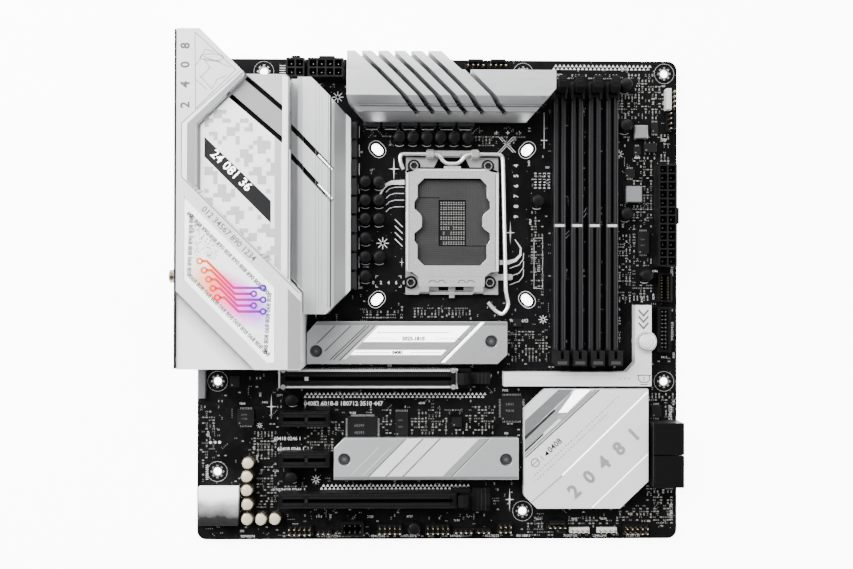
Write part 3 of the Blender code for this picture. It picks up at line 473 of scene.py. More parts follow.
SKY = grained("jack_sky", (0.06, 0.28, 0.60), 0.4, 0.0, 5.0, 0.01)
PINK = grained("jack_pink", (0.62, 0.13, 0.20), 0.4, 0.0, 5.0, 0.01)
# Grey print, also laid as painted shade in the screws' star sockets.
GREY_PRINT_AND_SHADE = grained("print_grey_and_painted_shade", (0.12, 0.12, 0.125), 0.5, 0.0, 5.0, 0.01, 0.1, gloss=0.2)
# Dark print, also laid as painted shade in the load plate's fold lines.
DARK_PRINT_AND_SHADE = grained("print_dark_and_painted_shade", (0.035, 0.035, 0.04), 0.5, 0.0, 5.0, 0.01, 0.15)
WHITE_DIM = grained("white_cover_dim", (0.50, 0.50, 0.51), 0.4, 0.1, 5.0, 0.005, 0.05)
# White that glows as painted light, for the labels and for painted highlights on the metal.
WHITE_PAINTED_LIGHT = grained("white_painted_light", (0.88, 0.88, 0.88), 0.42, 0.0, 5.0, 0.006, 0.02, glow=5.0)
# The cover's brightest white glows a little as painted light, for its lit faces and strips.
COVER_PAINTED_LIGHT = grained("white_cover_painted_light", (0.88, 0.88, 0.89), 0.36, 0.05, 5.0, 0.005, 0.03, glow=0.55)
SILVER_MID = satin_metal("silver_mid", (0.54, 0.545, 0.555), 0.37, "x")
SILVER_SHEEN = satin_metal("silver_sheen", (0.96, 0.965, 0.975), 0.36, "none", metal=0.3)

FINISH_USERS = [
    (BOARD, "pcb"),
    (DARK_STEEL, "socket_backplate io_shield display_ports socket_screw"),
    (CHARCOAL, "socket_housing"),
    (CONTACTS, "socket_contacts"),
    (STEEL, "socket_frame usb_ports lan_port"),
    (BRIGHT_STEEL, "load_plate load_lever pcie_x16_shield antenna_posts coin_cell"),
    (BLACK, "pcie_x16_upper pcie_latch_upper pcie_x16_lower pcie_latch_lower pcie_x1_1 pcie_x1_2 "
            "m2_connector_upper m2_connector_lower audio_jacks power_24pin power_8pin power_4pin "
            "sata_ports_1 sata_ports_2 usb3_header io_button dimm_latch"),
    (SILVER_MID, "m2_heatsink_upper"),
    (SILVER_X, "m2_heatsink_lower"),
    (GREY, "m2_latch_upper m2_latch_lower"),
    (SILVER_SHEEN, "chipset_heatsink"),
    (CHIP, "chipset_package dimm_slot"),
    (LEFT_TOWER_PAINTED_SHADE, "vrm_heatsink_left"),
    (TOP_TOWER_PAINTED_SHADE, "vrm_heatsink_top"),
    (WHITE, "io_shroud release_rail release_button"),
    (WINDOW, "shroud_window"),
    (FOIL_PAINTED_GLOW, "audio_shield"),
    (SLATE_AND_SHADE, "m2_screw"),
]
NODE_FINISHES = {name: finish for finish, names in FINISH_USERS for name in names.split()}
EDGE_WIDTHS = {
    "vrm_heatsink_left": 0.3, "vrm_heatsink_top": 0.3, "io_shroud": 0.35, "chipset_heatsink": 0.25,
    "m2_heatsink_upper": 0.3, "m2_heatsink_lower": 0.3, "release_rail": 0.4, "load_plate": 0.2,
    "socket_frame": 0.2, "power_24pin": 0.15, "power_8pin": 0.15, "power_4pin": 0.15,
}


def dress_nodes():
    """Gives every CAD piece its finish and rounds its outer edges a little."""
    for name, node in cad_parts.items():
        family = name if name in NODE_FINISHES else name.rsplit("_", 1)[0]
        node.data.materials.clear()
        node.data.materials.append(NODE_FINISHES[family])
        weld = node.modifiers.new("weld", "WELD")
        weld.merge_threshold = 0.002 * MM
        edge = node.modifiers.new("edge", "BEVEL")
        edge.width = EDGE_WIDTHS.get(name, 0.12) * MM
        edge.segments = 2
        edge.limit_method = "ANGLE"
        edge.angle_limit = math.radians(35)
        edge.harden_normals = True


# ---------------------------------------------------------------------------- board surface

MOUNT_HOLES = [(33.02, 237.65), (165.10, 237.65), (237.49, 237.65), (10.16, 80.17), (237.49, 80.17),
               (10.16, 34.45), (165.10, 14.13)]
SOCKET = (129.0, 160.0)
SOCKET_SCREWS = [(109.4, 189.6), (147.0, 189.6), (107.9, 130.5), (148.0, 130.5)]
COOLER_HOLES = [(SOCKET[0] + u * 38.25, SOCKET[1] + v * 38.25) for u in (-1, 1) for v in (-1, 1)]


def asterisk(shape, centre, radius):
    for i in range(8):
        angle = math.pi / 4 * i
        reach = Vector((math.cos(angle), math.sin(angle)))
        start = Vector(centre) + reach * radius * 0.25
        shape.stroke([start, Vector(centre) + reach * radius], radius * 0.13)


def star(shape, centre, width, height):
    """A four-pointed star with hollow sides."""
    waist = min(width, height) * 0.09
    points = []
    for i in range(8):
        angle = math.pi / 4 * i
        if i % 2:
            points.append((centre[0] + waist * math.cos(angle), centre[1] + waist * math.sin(angle)))
        else:
            reach = (width / 2 if i % 4 == 0 else height / 2)
            points.append((centre[0] + reach * math.cos(angle), centre[1] + reach * math.sin(angle)))
    shape.add([(*centre, LIFT)] + [(x, y, LIFT) for x, y in points],
              [[0, 1 + i, 1 + (i + 1) % 8] for i in range(8)])


def chevrons(shape, x, y):
    """Two rows of small upright triangles, the upper row half a pitch along, from one x to the other."""
    pitch = 2.1
    for i in range(int((x[1] - x[0]) / pitch)):
        for row in (0, 1):
            left = x[0] + (i + 0.5 * row) * pitch
            low = y + row * 1.45
            shape.flat([(left, low), (left + 1.65, low), (left + 0.825, low + 1.3)])


def printed_rings(ink, tin):
    """Bare rings round the mounting holes, and outlines round the cooler holes."""
    for centre in MOUNT_HOLES:
        tin.ring(centre, 2.1, 2.5, steps=32)
        for i in range(8):
            angle = 2 * math.pi * i / 8
            spot = (centre[0] + 3.0 * math.cos(angle), centre[1] + 3.0 * math.sin(angle))
            tin.brick(spot, (0.7, 1.1), math.degrees(angle), (0.0, LIFT + 0.01))
        ink.ring(centre, 5.0, 5.1, steps=40)
    for u in (-1, 1):
        for v in (-1, 1):
            outer = Vector((SOCKET[0] + u * 39.0, SOCKET[1] + v * 39.0))
            inner = Vector((SOCKET[0] + u * 37.5, SOCKET[1] + v * 37.5))
            along = math.degrees(math.atan2(v, u))
            around = arc(outer, 3.6, along - 90, along + 90, 12)
            around += arc(inner, 3.6, along + 90, along + 270, 12)
            ink.stroke(around, 0.25, closed=True)


def printed_ornaments(ink):
    """Stars, asterisks, triangle rows, hatches and bands printed over the open areas."""
    for centre, radius in [((93.6, 150.4), 3.1), ((70.6, 224.7), 2.9), ((175.5, 111.7), 2.3),
                           ((214.4, 196.4), 2.2), ((60.0, 30.3), 2.3), ((31.5, 57.8), 1.5)]:
        asterisk(ink, centre, radius)
    for centre, width, height in [((99.2, 188.3), 6.0, 12.0), ((158.7, 156.0), 5.0, 12.0),
                                  ((103.3, 140.7), 2.6, 5.0), ((37.3, 67.3), 5.4, 13.0),
                                  ((158.5, 20.0), 5.0, 12.0)]:
        star(ink, centre, width, height)
    for x in (151.5, 157.3, 163.2):
        ink.stroke([(x - 1.0, 207.0), (x + 1.0, 207.0)], 0.3)
        ink.stroke([(x, 206.0), (x, 208.0)], 0.3)
    for step in (0.0, 1.3):
        ink.stroke([(152.4 + step, 197.0), (160.0 + step, 205.0)], 0.3)
        ink.stroke([(160.0 + step, 197.0), (152.4 + step, 205.0)], 0.3)
    chevrons(ink, (53.6, 147.6), 71.8)
    chevrons(ink, (62.0, 139.0), 25.3)
    chevrons(ink, (180.0, 231.0), 239.4)
    for i in range(4):
        ink.stroke([(41.0, 237.0 + i * 1.2), (44.0, 237.0 + i * 1.2)], 0.3)
    for i in range(4):
        y = 162.6 - i * 3.3
        ink.stroke([(99.8, y), (103.7, y - 3.9)], 0.45)
    ink.stroke(rectangle((170.8, 175.2), (127.5, 153.3)), 0.15, closed=True)
    numerals(ink, "5015", (173.9, 136.0), 1.8, turn=90)
    for x, inward in [(90.1, 1.2), (103.0, -1.2)]:
        for y, down in [(133.8, -1.2), (128.1, 1.2)]:
            ink.stroke([(x + inward, y), (x, y), (x, y + down)], 0.25)
    for i in range(5):
        numerals(ink, str(2 * i), (88.2 + i * 3.9, 129.6), 2.4, bold=0.03)
    for i in range(6):
        numerals(ink, str(9 - i), (162.6, 163.4 + i * 5.2), 3.2, turn=90, bold=0.05)
    ink.stroke([(175.9, 199.0), (175.9, 217.5)], 0.35)
    ink.stroke([(174.3, 203.2), (177.5, 203.2)], 0.45)
    for i in range(4):
        numerals(ink, "0 4 6 1 4 " + str(i), (172.1 + i * 2.3, 178.4), 1.9, turn=90)


def tapered(shape, points, widths):
    """A band along the points that narrows evenly from the first width to the second."""
    left = []
    right = []
    last = len(points) - 1
    for i, point in enumerate(points):
        ahead = Vector(points[min(i + 1, last)]) - Vector(points[max(i - 1, 0)])
        side = ahead.normalized().orthogonal() * (widths[0] + (widths[1] - widths[0]) * i / last) / 2
        left.append(Vector(point) + side)
        right.append(Vector(point) - side)
    shape.flat(left + right[::-1])


def printed_bands(ink):
    """Broad bands that bend away on both sides of the socket, with thin arcs below them."""
    tapered(ink, [(104.6, 181.5), (98.0, 181.3), (95.6, 180.3), (93.9, 178.4), (92.4, 175.4)], (2.5, 0.8))
    for y in (179.0, 175.8, 172.4, 169.0):
        ink.stroke([(104.4, y), (99.8, y), (97.0, y - 0.8), (95.2, y - 2.6)], 0.3)
    right = [(153.2, 140.8), (157.8, 140.8), (161.4, 142.0), (163.8, 144.6), (164.0, 148.2), (161.0, 152.6)]
    tapered(ink, right, (2.5, 0.3))
    for y in (145.6, 141.4, 137.2):
        ink.stroke([(165.5, y), (165.3, y - 3.2), (163.2, y - 6.0), (158.4, y - 7.8)], 0.3)
    for shift in (3.2, 4.6):
        ink.stroke(arc((129.0, 212.0), 78.0 + shift, 206, 226, 10), 0.25)
        ink.stroke(arc((129.0, 212.0), 78.0 + shift, -46, -30, 10), 0.25)


def printed_numbers(ink):
    """Reference numbers beside the parts, all plain numerals."""
    spots = []
    for x, y in [(32.5, 69.0), (40.0, 72.5), (112.0, 68.6), (38.0, 49.2),
                 (38.0, 34.2), (38.0, 24.6), (152.0, 109.4), (165.4, 118.0), (230.6, 200.8),
                 (235.6, 203.4), (236.0, 92.0), (54.0, 229.6), (46.0, 229.4), (74.0, 229.6),
                 (136.0, 235.2), (150.0, 235.2), (182.0, 236.2), (222.0, 194.0), (231.2, 136.0),
                 (77.0, 63.6), (154.6, 75.0), (21.0, 68.4), (12.0, 88.6), (86.0, 11.0),
                 (106.0, 11.0), (130.0, 9.0), (60.0, 11.0), (48.0, 7.0), (190.0, 9.6), (205.0, 9.6),
                 (219.0, 12.0), (145.0, 24.8), (172.0, 9.6), (236.6, 26.0), (222.6, 80.4)]:
        spots.append((x, y, 1.6, 0.0))
    for x, y in [(166.0, 196.0), (169.4, 160.0), (168.6, 190.0), (243.0, 92.0), (6.0, 52.0), (243.0, 68.0),
                 (226.6, 120.6), (232.6, 122.0), (30.6, 40.0), (216.4, 238.6)]:
        spots.append((x, y, 1.5, 90.0))
    for x, y, size in [(241.6, 58.0, 2.4), (242.4, 101.0, 2.4), (242.0, 9.0, 2.2), (242.2, 134.0, 2.0),
                       (5.6, 30.0, 2.0)]:
        spots.append((x, y, size, 90.0))
    for x in (22.0, 64.0, 88.0, 104.0, 128.0, 146.0, 162.0, 186.0, 201.0, 218.0):
        spots.append((x, 1.0, 1.8, 0.0))
    spots.append((158.4, 110.3, 2.4, 0.0))
    for x, y, size, turn in spots:
        numerals(ink, str(CHANCE.randint(100, 9999)) * (2 if size > 1.7 else 1), (x, y), size, turn=turn)
    numerals(ink, "04082 6018-8 180712 3510 447", (53.8, 67.9), 3.1, bold=0.08)
    for x, y in [(38.6, 50.3), (40.4, 45.0), (41.0, 24.2)]:
        numerals(ink, "60418 0246 1", (x, y), 2.5, bold=0.03)


def make_print():
    ink = Shape(INK)
    tin = Shape(TIN)
    printed_rings(ink, tin)
    printed_ornaments(ink)
    printed_bands(ink)
    printed_numbers(ink)
    return ink, tin


# ---------------------------------------------------------------------------- small parts

LOW_NODES = ("pcb", "socket_backplate", "release_rail", "load_lever", "coin_cell", "antenna_posts")


def node_plans():
    """Plan rectangles of the CAD pieces, which the small parts keep clear of."""
    plans = []
    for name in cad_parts:
        if name not in LOW_NODES:
            low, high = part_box(name)
            low, high = low / MM + CENTRE, high / MM + CENTRE
            plans.append(((low.x, high.x), (low.y, high.y)))
    plans += [((153.6, 230.0), (77.6, 86.4)), ((215.8, 230.2), (84.0, 120.2)),
              ((90.0, 168.0), (121.0, 199.4))]
    for x, y in MOUNT_HOLES + COOLER_HOLES:
        plans.append((about(x, 5.3), about(y, 5.3)))
    return plans


TAKEN = node_plans()


def free(x, y, half_x, half_y):
    """Claims a rectangle of board if nothing stands there yet."""
    if not (0.8 + half_x < x < 243.2 - half_x and 0.8 + half_y < y < 243.2 - half_y):
        return False
    for span_x, span_y in TAKEN:
        if span_x[0] - half_x < x < span_x[1] + half_x and span_y[0] - half_y < y < span_y[1] + half_y:
            return False
    TAKEN.append((about(x, half_x), about(y, half_y)))
    return True


def claim(x, y):
    TAKEN.append((x, y))


class SmallParts:
    """The shapes that small parts are added to, one for each kind of surface."""

    def __init__(self, ink, tin):
        self.ink, self.tin = ink, tin
        self.chips = Shape(CHIP)
        self.passives = Shape(CERAMIC)
        self.cans = Shape(CAN)
        self.coils = Shape(FERRITE)
        self.headers = Shape(BLACK)


def passive(kit, x, y, upright, size=1.0):
    """A ceramic capacitor or a resistor with soldered ends."""
    long, wide, tall = 1.15 * size, 0.6 * size, 0.5 * size
    if not free(x, y, (wide if upright else long) / 2 + 0.15, (long if upright else wide) / 2 + 0.15):
        return
    finish = CERAMIC if CHANCE.random() < 0.55 else CHIP
    turn = 90.0 if upright else 0.0
    step = Matrix.Rotation(math.radians(turn), 2)
    kit.passives.brick((x, y), (long * 0.56, wide), turn, (0.0, tall), finish)
    for side in (-1, 1):
        spot = Vector((x, y)) + step @ Vector((side * long * 0.39, 0.0))
        kit.passives.brick(spot, (long * 0.24, wide * 1.06), turn, (0.0, tall * 1.05), TIN)


def cluster(kit, x, y, fill, size=1.0):
    """Rows of passives over a rectangle, with some places left empty."""
    pitch_x, pitch_y = 1.75 * size, 1.45 * size
    for row in range(int((y[1] - y[0]) / pitch_y) + 1):
        upright = CHANCE.random() < 0.4
        for column in range(int((x[1] - x[0]) / pitch_x) + 1):
            if CHANCE.random() < fill:
                passive(kit, x[0] + column * pitch_x, y[0] + row * pitch_y, upright, size)


def passives_everywhere(kit):
    dense = [((214.0, 236.0), (215.0, 237.0)), ((222.0, 240.0), (190.0, 206.0)),
             ((214.6, 220.6), (85.0, 155.0)), ((158.0, 178.0), (91.0, 106.0)),
             ((84.0, 104.0), (112.6, 116.0)), ((110.0, 138.0), (113.0, 118.0)),
             ((107.0, 123.0), (52.5, 68.0)), ((92.4, 100.0), (52.5, 66.0)), ((215.0, 242.0), (8.0, 27.0)),
             ((29.0, 40.0), (15.0, 55.0)), ((56.0, 74.0), (45.0, 60.0)), ((141.0, 150.0), (54.0, 68.0)),
             ((126.0, 140.0), (54.0, 67.0)), ((168.0, 214.0), (2.0, 12.0)), ((3.0, 9.0), (30.0, 66.0)),
             ((152.0, 166.0), (120.0, 152.0)), ((92.0, 100.0), (120.0, 152.0)),
             ((92.0, 166.0), (199.0, 206.0)), ((228.0, 242.0), (62.0, 78.0)), ((44.0, 152.0), (1.6, 4.2)),
             ((168.0, 176.0), (120.0, 172.0)), ((30.0, 78.0), (86.0, 89.0)), ((41.0, 56.0), (24.0, 29.0)),
             ((222.0, 232.0), (122.0, 156.0)), ((222.0, 231.0), (158.0, 190.0)),
             ((178.0, 213.0), (235.0, 237.6))]
    for x, y in dense:
        cluster(kit, x, y, 0.58)
    cluster(kit, (216.0, 238.0), (216.0, 236.0), 0.35, 1.5)
    cluster(kit, (219.0, 240.0), (9.0, 26.0), 0.3, 1.5)
    cluster(kit, (2.0, 242.0), (2.0, 242.0), 0.07)
    cluster(kit, (2.0, 242.0), (2.0, 242.0), 0.02, 1.7)


VIA_KEEP_OUTS = 75


def vias(kit):
    """Bare plated holes in short straight runs, clear of the first rectangles claimed."""
    for _ in range(520):
        x, y = CHANCE.uniform(2.0, 240.0), CHANCE.uniform(2.0, 240.0)
        step = CHANCE.choice([(1.0, 0.0), (0.0, 1.0), (0.75, 0.75), (0.75, -0.75)])
        for i in range(CHANCE.randint(1, 5)):
            spot = (x + step[0] * i, y + step[1] * i)
            under = any(u[0] < spot[0] < u[1] and v[0] < spot[1] < v[1] for u, v in TAKEN[:VIA_KEEP_OUTS])
            if not under and spot[0] < 242.5 and 1.5 < spot[1] < 242.5:
                kit.tin.flat(circle(spot, 0.24, 6), LIFT * 0.8)


def chip(kit, x, y, tall, leads=0, sides=2, lead_pitch=0.8):
    """A flat package with its leads, a dot at pin one and plain numbers."""
    claim((x[0] - 1.0, x[1] + 1.0), (y[0] - 1.0, y[1] + 1.0))
    kit.chips.box(x, y, (0.1, tall), chamfer=0.12)
    kit.chips.turned((x[0] + 1.1, y[0] + 1.1, 0.0), [(0.42, tall + 0.01), (0.3, tall + 0.02)], GREY, 10)
    size = min(x[1] - x[0], y[1] - y[0])
    if size > 5.0:
        for row in (0.62, 0.36):
            text = str(CHANCE.randint(1000, 99999))
            corner = (x[0] + (x[1] - x[0]) * 0.22, y[0] + (y[1] - y[0]) * row)
            numerals(kit.chips, text, corner, size * 0.15, tall + 0.02, GREY)
    for i in range(leads):
        shift = (i - (leads - 1) / 2) * lead_pitch
        for side in (0, 1):
            edge = y[side] + (side * 2 - 1) * 0.45
            lead = (sum(x) / 2 + shift - 0.18, sum(x) / 2 + shift + 0.18)
            kit.chips.box(lead, about(edge, 0.5), (0.0, 0.3), TIN)
            if sides == 4:
                edge = x[side] + (side * 2 - 1) * 0.45
                lead = (sum(y) / 2 + shift - 0.18, sum(y) / 2 + shift + 0.18)
                kit.chips.box(about(edge, 0.5), lead, (0.0, 0.3), TIN)


def chips(kit):
    chip(kit, (76.0, 91.2), (48.6, 62.4), 1.4, 24, 4, 0.5)
    chip(kit, (100.2, 106.8), (52.4, 64.8), 1.2, 8, 2)
    chip(kit, (153.9, 165.0), (60.2, 72.9), 1.2, 12, 4, 0.8)
    chip(kit, (20.4, 28.8), (58.0, 66.0), 1.4, 8, 2)
    chip(kit, (16.4, 21.2), (77.2, 82.8), 0.9)
    chip(kit, (223.8, 229.6), (145.2, 156.8), 1.6, 5, 2)
    chip(kit, (230.6, 234.4), (207.0, 212.6), 1.0, 4, 2)
    chip(kit, (221.6, 225.4), (196.0, 200.2), 1.0, 3, 2)
    chip(kit, (217.2, 222.4), (184.2, 188.8), 1.0, 4, 2)
    chip(kit, (231.0, 236.0), (61.8, 68.2), 1.0, 4, 2)
    chip(kit, (226.8, 233.2), (197.2, 201.8), 2.2, 3, 2, 2.3)
    chip(kit, (60.0, 67.0), (63.0, 67.6), 1.2, 8, 2)
    chip(kit, (129.0, 134.0), (57.0, 62.0), 0.9)
    chip(kit, (182.0, 187.0), (3.0, 8.0), 0.9)
    chip(kit, (160.0, 164.4), (108.0, 112.0), 0.9)
    for i in range(9):
        y = 131.0 + i * 9.6
        chip(kit, (60.4, 65.4), about(y, 3.0), 0.8)
    for i in range(6):
        x = 88.0 + i * 9.5
        chip(kit, about(x, 3.0), (222.0, 227.0), 0.8)


def can(kit, x, y, pale=False):
    """A capacitor can on its square base."""
    if not pale:
        kit.ink.stroke(arc((x, y), 3.9, 235, 305, 6), 0.3)
    claim(about(x, 3.7), about(y, 3.7))
    kit.cans.prism([(x - 3.2, y - 3.2), (x + 1.9, y - 3.2), (x + 3.2, y - 1.9), (x + 3.2, y + 1.9),
                    (x + 1.9, y + 3.2), (x - 3.2, y + 3.2)], (0.0, 1.0), BLACK, chamfer=0.15)
    wall = [(2.75, 0.9), (3.05, 1.3), (3.05, 7.2), (2.95, 7.6), (2.65, 7.85)]
    kit.cans.turned((x, y, 0.0), wall, GOLD if pale else CAN, 24)
    kit.cans.turned((x, y, 0.0), [(2.5, 7.86), (2.35, 7.93)], CREAM if pale else CAN, 24)


CAN_SPOTS = [(102.0, 203.7), (108.7, 203.7), (115.8, 203.7), (122.7, 203.7), (129.6, 203.7), (136.5, 203.7),
             (84.7, 181.2), (91.6, 181.2), (84.7, 171.9), (91.6, 171.9), (84.7, 162.5), (91.6, 162.5),
             (84.9, 152.8), (84.9, 143.3), (91.9, 143.3), (84.9, 133.7), (216.9, 231.1), (216.9, 210.3),
             (172.1, 171.9), (217.4, 165.5), (227.3, 134.3), (48.2, 71.2), (48.0, 32.3)]
PALE_SPOTS = [(26.5, 39.7), (26.0, 33.0), (26.0, 26.1), (26.3, 19.1), (26.2, 11.8), (33.1, 11.7),
              (40.0, 11.9)]


def cans(kit):
    for spot in CAN_SPOTS:
        can(kit, *spot)
    for spot in PALE_SPOTS:
        can(kit, *spot, pale=True)
    can(kit, 109.9, 6.4)


def coil(kit, x, y, tall, finish=FERRITE):
    claim((x[0] - 0.4, x[1] + 0.4), (y[0] - 0.4, y[1] + 0.4))
    kit.coils.box(x, y, (0.4, tall), finish, chamfer=0.45)
    for end in (x[0] + 0.4, x[1] - 1.4):
        kit.coils.box((end, end + 1.0), (y[0] - 0.3, y[1] + 0.3), (0.0, 0.5), SILVER_DIM)


def coils(kit):
    for i in range(9):
        y = 131.4 + i * 9.45
        coil(kit, (71.8, 80.6), about(y, 4.3), 7.0)
        kit.ink.stroke([(81.6, y - 3.0), (81.6, y + 3.0)], 0.4)
    for i in range(6):
        x = 88.0 + i * 9.5
        coil(kit, about(x, 4.3), (209.4, 218.2), 7.0)
        kit.ink.stroke([(x - 3.0, 208.4), (x + 3.0, 208.4)], 0.4)
    coil(kit, (221.7, 228.6), (204.0, 210.8), 3.6, SILVER_DIM)
    coil(kit, (217.4, 225.6), (171.4, 179.8), 4.2, SILVER_DIM)


def cell_centres(x, y, columns, rows):
    """The middle of each cell of a rectangle divided into columns and rows."""
    for column in range(columns):
        for row in range(rows):
            yield x[0] + (x[1] - x[0]) * (column + 0.5) / columns, y[0] + (y[1] - y[0]) * (row + 0.5) / rows


def pin_header(kit, corner, columns, rows, finish=BLACK, tall=8.4, pitch=2.54):
    """A plastic strip with square pins that taper to a point."""
    x, y = corner
    end_x, end_y = x + columns * pitch, y + rows * pitch
    claim((x - 0.3, end_x + 0.3), (y - 0.3, end_y + 0.3))
    kit.headers.box((x, end_x), (y, end_y), (0.0, 2.5), finish, chamfer=0.3)
    for u, v in cell_centres((x, end_x), (y, end_y), columns, rows):
        kit.headers.box(about(u, 0.32), about(v, 0.32), (2.4, tall), GOLD, chamfer=0.2)


def shrouded(kit, x, y, tall, columns, rows, finish=BLACK, wall=0.9):
    """A rectangular header wall round its pins."""
    claim((x[0] - 0.4, x[1] + 0.4), (y[0] - 0.4, y[1] + 0.4))
    kit.headers.box(x, y, (0.0, 1.6), finish, chamfer=0.1)
    for side in (0, 1):
        edge = (x[0], x[0] + wall) if side == 0 else (x[1] - wall, x[1])
        kit.headers.box(edge, y, (1.5, tall), finish, chamfer=0.12)
        edge = (y[0], y[0] + wall) if side == 0 else (y[1] - wall, y[1])
        kit.headers.box((x[0] + wall, x[1] - wall), edge, (1.5, tall), finish, chamfer=0.12)
    # The floor inside the wall is near-black as painted shade.
    kit.headers.flat(rectangle((x[0] + wall, x[1] - wall), (y[0] + wall, y[1] - wall)), 1.65, SHADE_BLACK)
    for u, v in cell_centres(x, y, columns, rows):
        kit.headers.box(about(u, 0.32), about(v, 0.32), (1.6, tall - 0.8), GOLD, chamfer=0.15)


def fan_header(kit, corner, along_y=False, finish=BLACK):
    """A four-pin header with a raised guide wall behind its pins."""
    x, y = corner
    if along_y:
        pin_header(kit, (x + 1.2, y), 1, 4, finish)
        kit.headers.box((x + 4.2, x + 5.6), (y + 1.4, y + 8.8), (0.0, 7.4), finish, chamfer=0.2)
        claim((x, x + 6.0), (y, y + 10.4))
    else:
        pin_header(kit, (x, y + 1.2), 4, 1, finish)
        kit.headers.box((x + 1.4, x + 8.8), (y + 4.2, y + 5.6), (0.0, 7.4), finish, chamfer=0.2)
        claim((x, x + 10.4), (y, y + 6.0))


def headers(kit):
    fan_header(kit, (135.3, 237.6))
    fan_header(kit, (146.7, 237.6))
    fan_header(kit, (236.8, 207.4), along_y=True)
    fan_header(kit, (177.0, 4.6))
    pin_header(kit, (239.9, 218.6), 1, 4)
    kit.headers.box((237.4, 239.9), (218.4, 229.2), (0.0, 6.4), IVORY, chamfer=0.3)
    shrouded(kit, (233.4, 240.2), (120.8, 135.4), 6.4, 2, 10)
    shrouded(kit, (73.4, 84.2), (3.2, 10.0), 8.8, 4, 2)
    pin_header(kit, (91.2, 3.0), 5, 2)
    pin_header(kit, (115.4, 3.0), 5, 2)
    pin_header(kit, (129.6, 3.4), 4, 1)
    pin_header(kit, (141.0, 3.4), 3, 1)
    pin_header(kit, (152.0, 3.6), 3, 2)
    pin_header(kit, (188.8, 3.4), 4, 1, finish=IVORY)
    pin_header(kit, (202.8, 3.4), 4, 1, finish=IVORY)
    pin_header(kit, (46.0, 2.6), 5, 2)
    pin_header(kit, (216.0, 2.6), 5, 2)
    pin_header(kit, (60.4, 3.0), 3, 1)
    kit.headers.box((0.9, 4.4), (71.8, 86.0), (0.0, 3.4), GREY, chamfer=0.3)
    claim((0.5, 4.8), (71.4, 86.4))
    for x in (6.6, 8.9, 11.2):
        kit.ink.flat(circle((x, 49.2), 0.75, 12))


def solder_tails():
    """Trimmed pins and solder cones under the through-hole parts."""
    tails = Shape(TIN)
    groups = [((233.9, 240.6), (141.0, 187.4), 2, 12), ((58.8, 71.6), (235.4, 239.6), 4, 2),
              ((48.0, 52.2), (235.4, 239.6), 2, 2), ((47.0, 134.0), (81.0, 83.5), 34, 2),
              ((47.0, 134.0), (20.0, 22.6), 34, 2), ((45.0, 66.0), (60.8, 63.2), 9, 2),
              ((45.0, 66.0), (40.4, 42.8), 9, 2), ((92.4, 102.6), (4.3, 6.8), 5, 2),
              ((234.4, 237.4), (97.8, 116.0), 2, 10), ((116.6, 126.8), (4.3, 6.8), 5, 2)]
    groups += [(about(x, 1.0), (98.0, 224.0), 2, 60) for x in (183.0, 191.9, 200.8, 209.7)]
    for x, y, columns, rows in groups:
        for column in range(columns):
            for row in range(rows):
                u = x[0] + (x[1] - x[0]) * column / (columns - 1)
                v = y[0] + (y[1] - y[0]) * row / (rows - 1)
                tails.turned((u, v, -1.6), [(0.55, 0.0), (0.4, -0.5), (0.22, -1.1)], steps=6)
    return tails


# ---------------------------------------------------------------------------- rear cover

COVER_TOP = 40.0
ON_COVER = COVER_TOP + 0.03
OVER_COVER = COVER_TOP + 0.04
PANEL = 36.0


def blocks_pattern(shape, x, y, cell, z, finish):
    """Loose clumps of small squares, like a pixel camouflage, inside a rectangle."""
    for column in range(int((x[1] - x[0]) / cell)):
        for row in range(int((y[1] - y[0]) / cell)):
            u, v = x[0] + column * cell, y[0] + row * cell
            wave = math.sin(0.61 * u + 0.35 * v) + math.sin(0.47 * v - 0.22 * u) + math.sin(0.83 * (u - v))
            clear = abs(u + v * 1.03 - 208.0) > 7.0 and v < 217.0 - (u - 19.0) * 0.853 - cell
            if clear and wave + CHANCE.uniform(-0.5, 0.5) > 0.45:
                shape.flat(rectangle((u, u + cell), (v, v + cell)), z, finish)


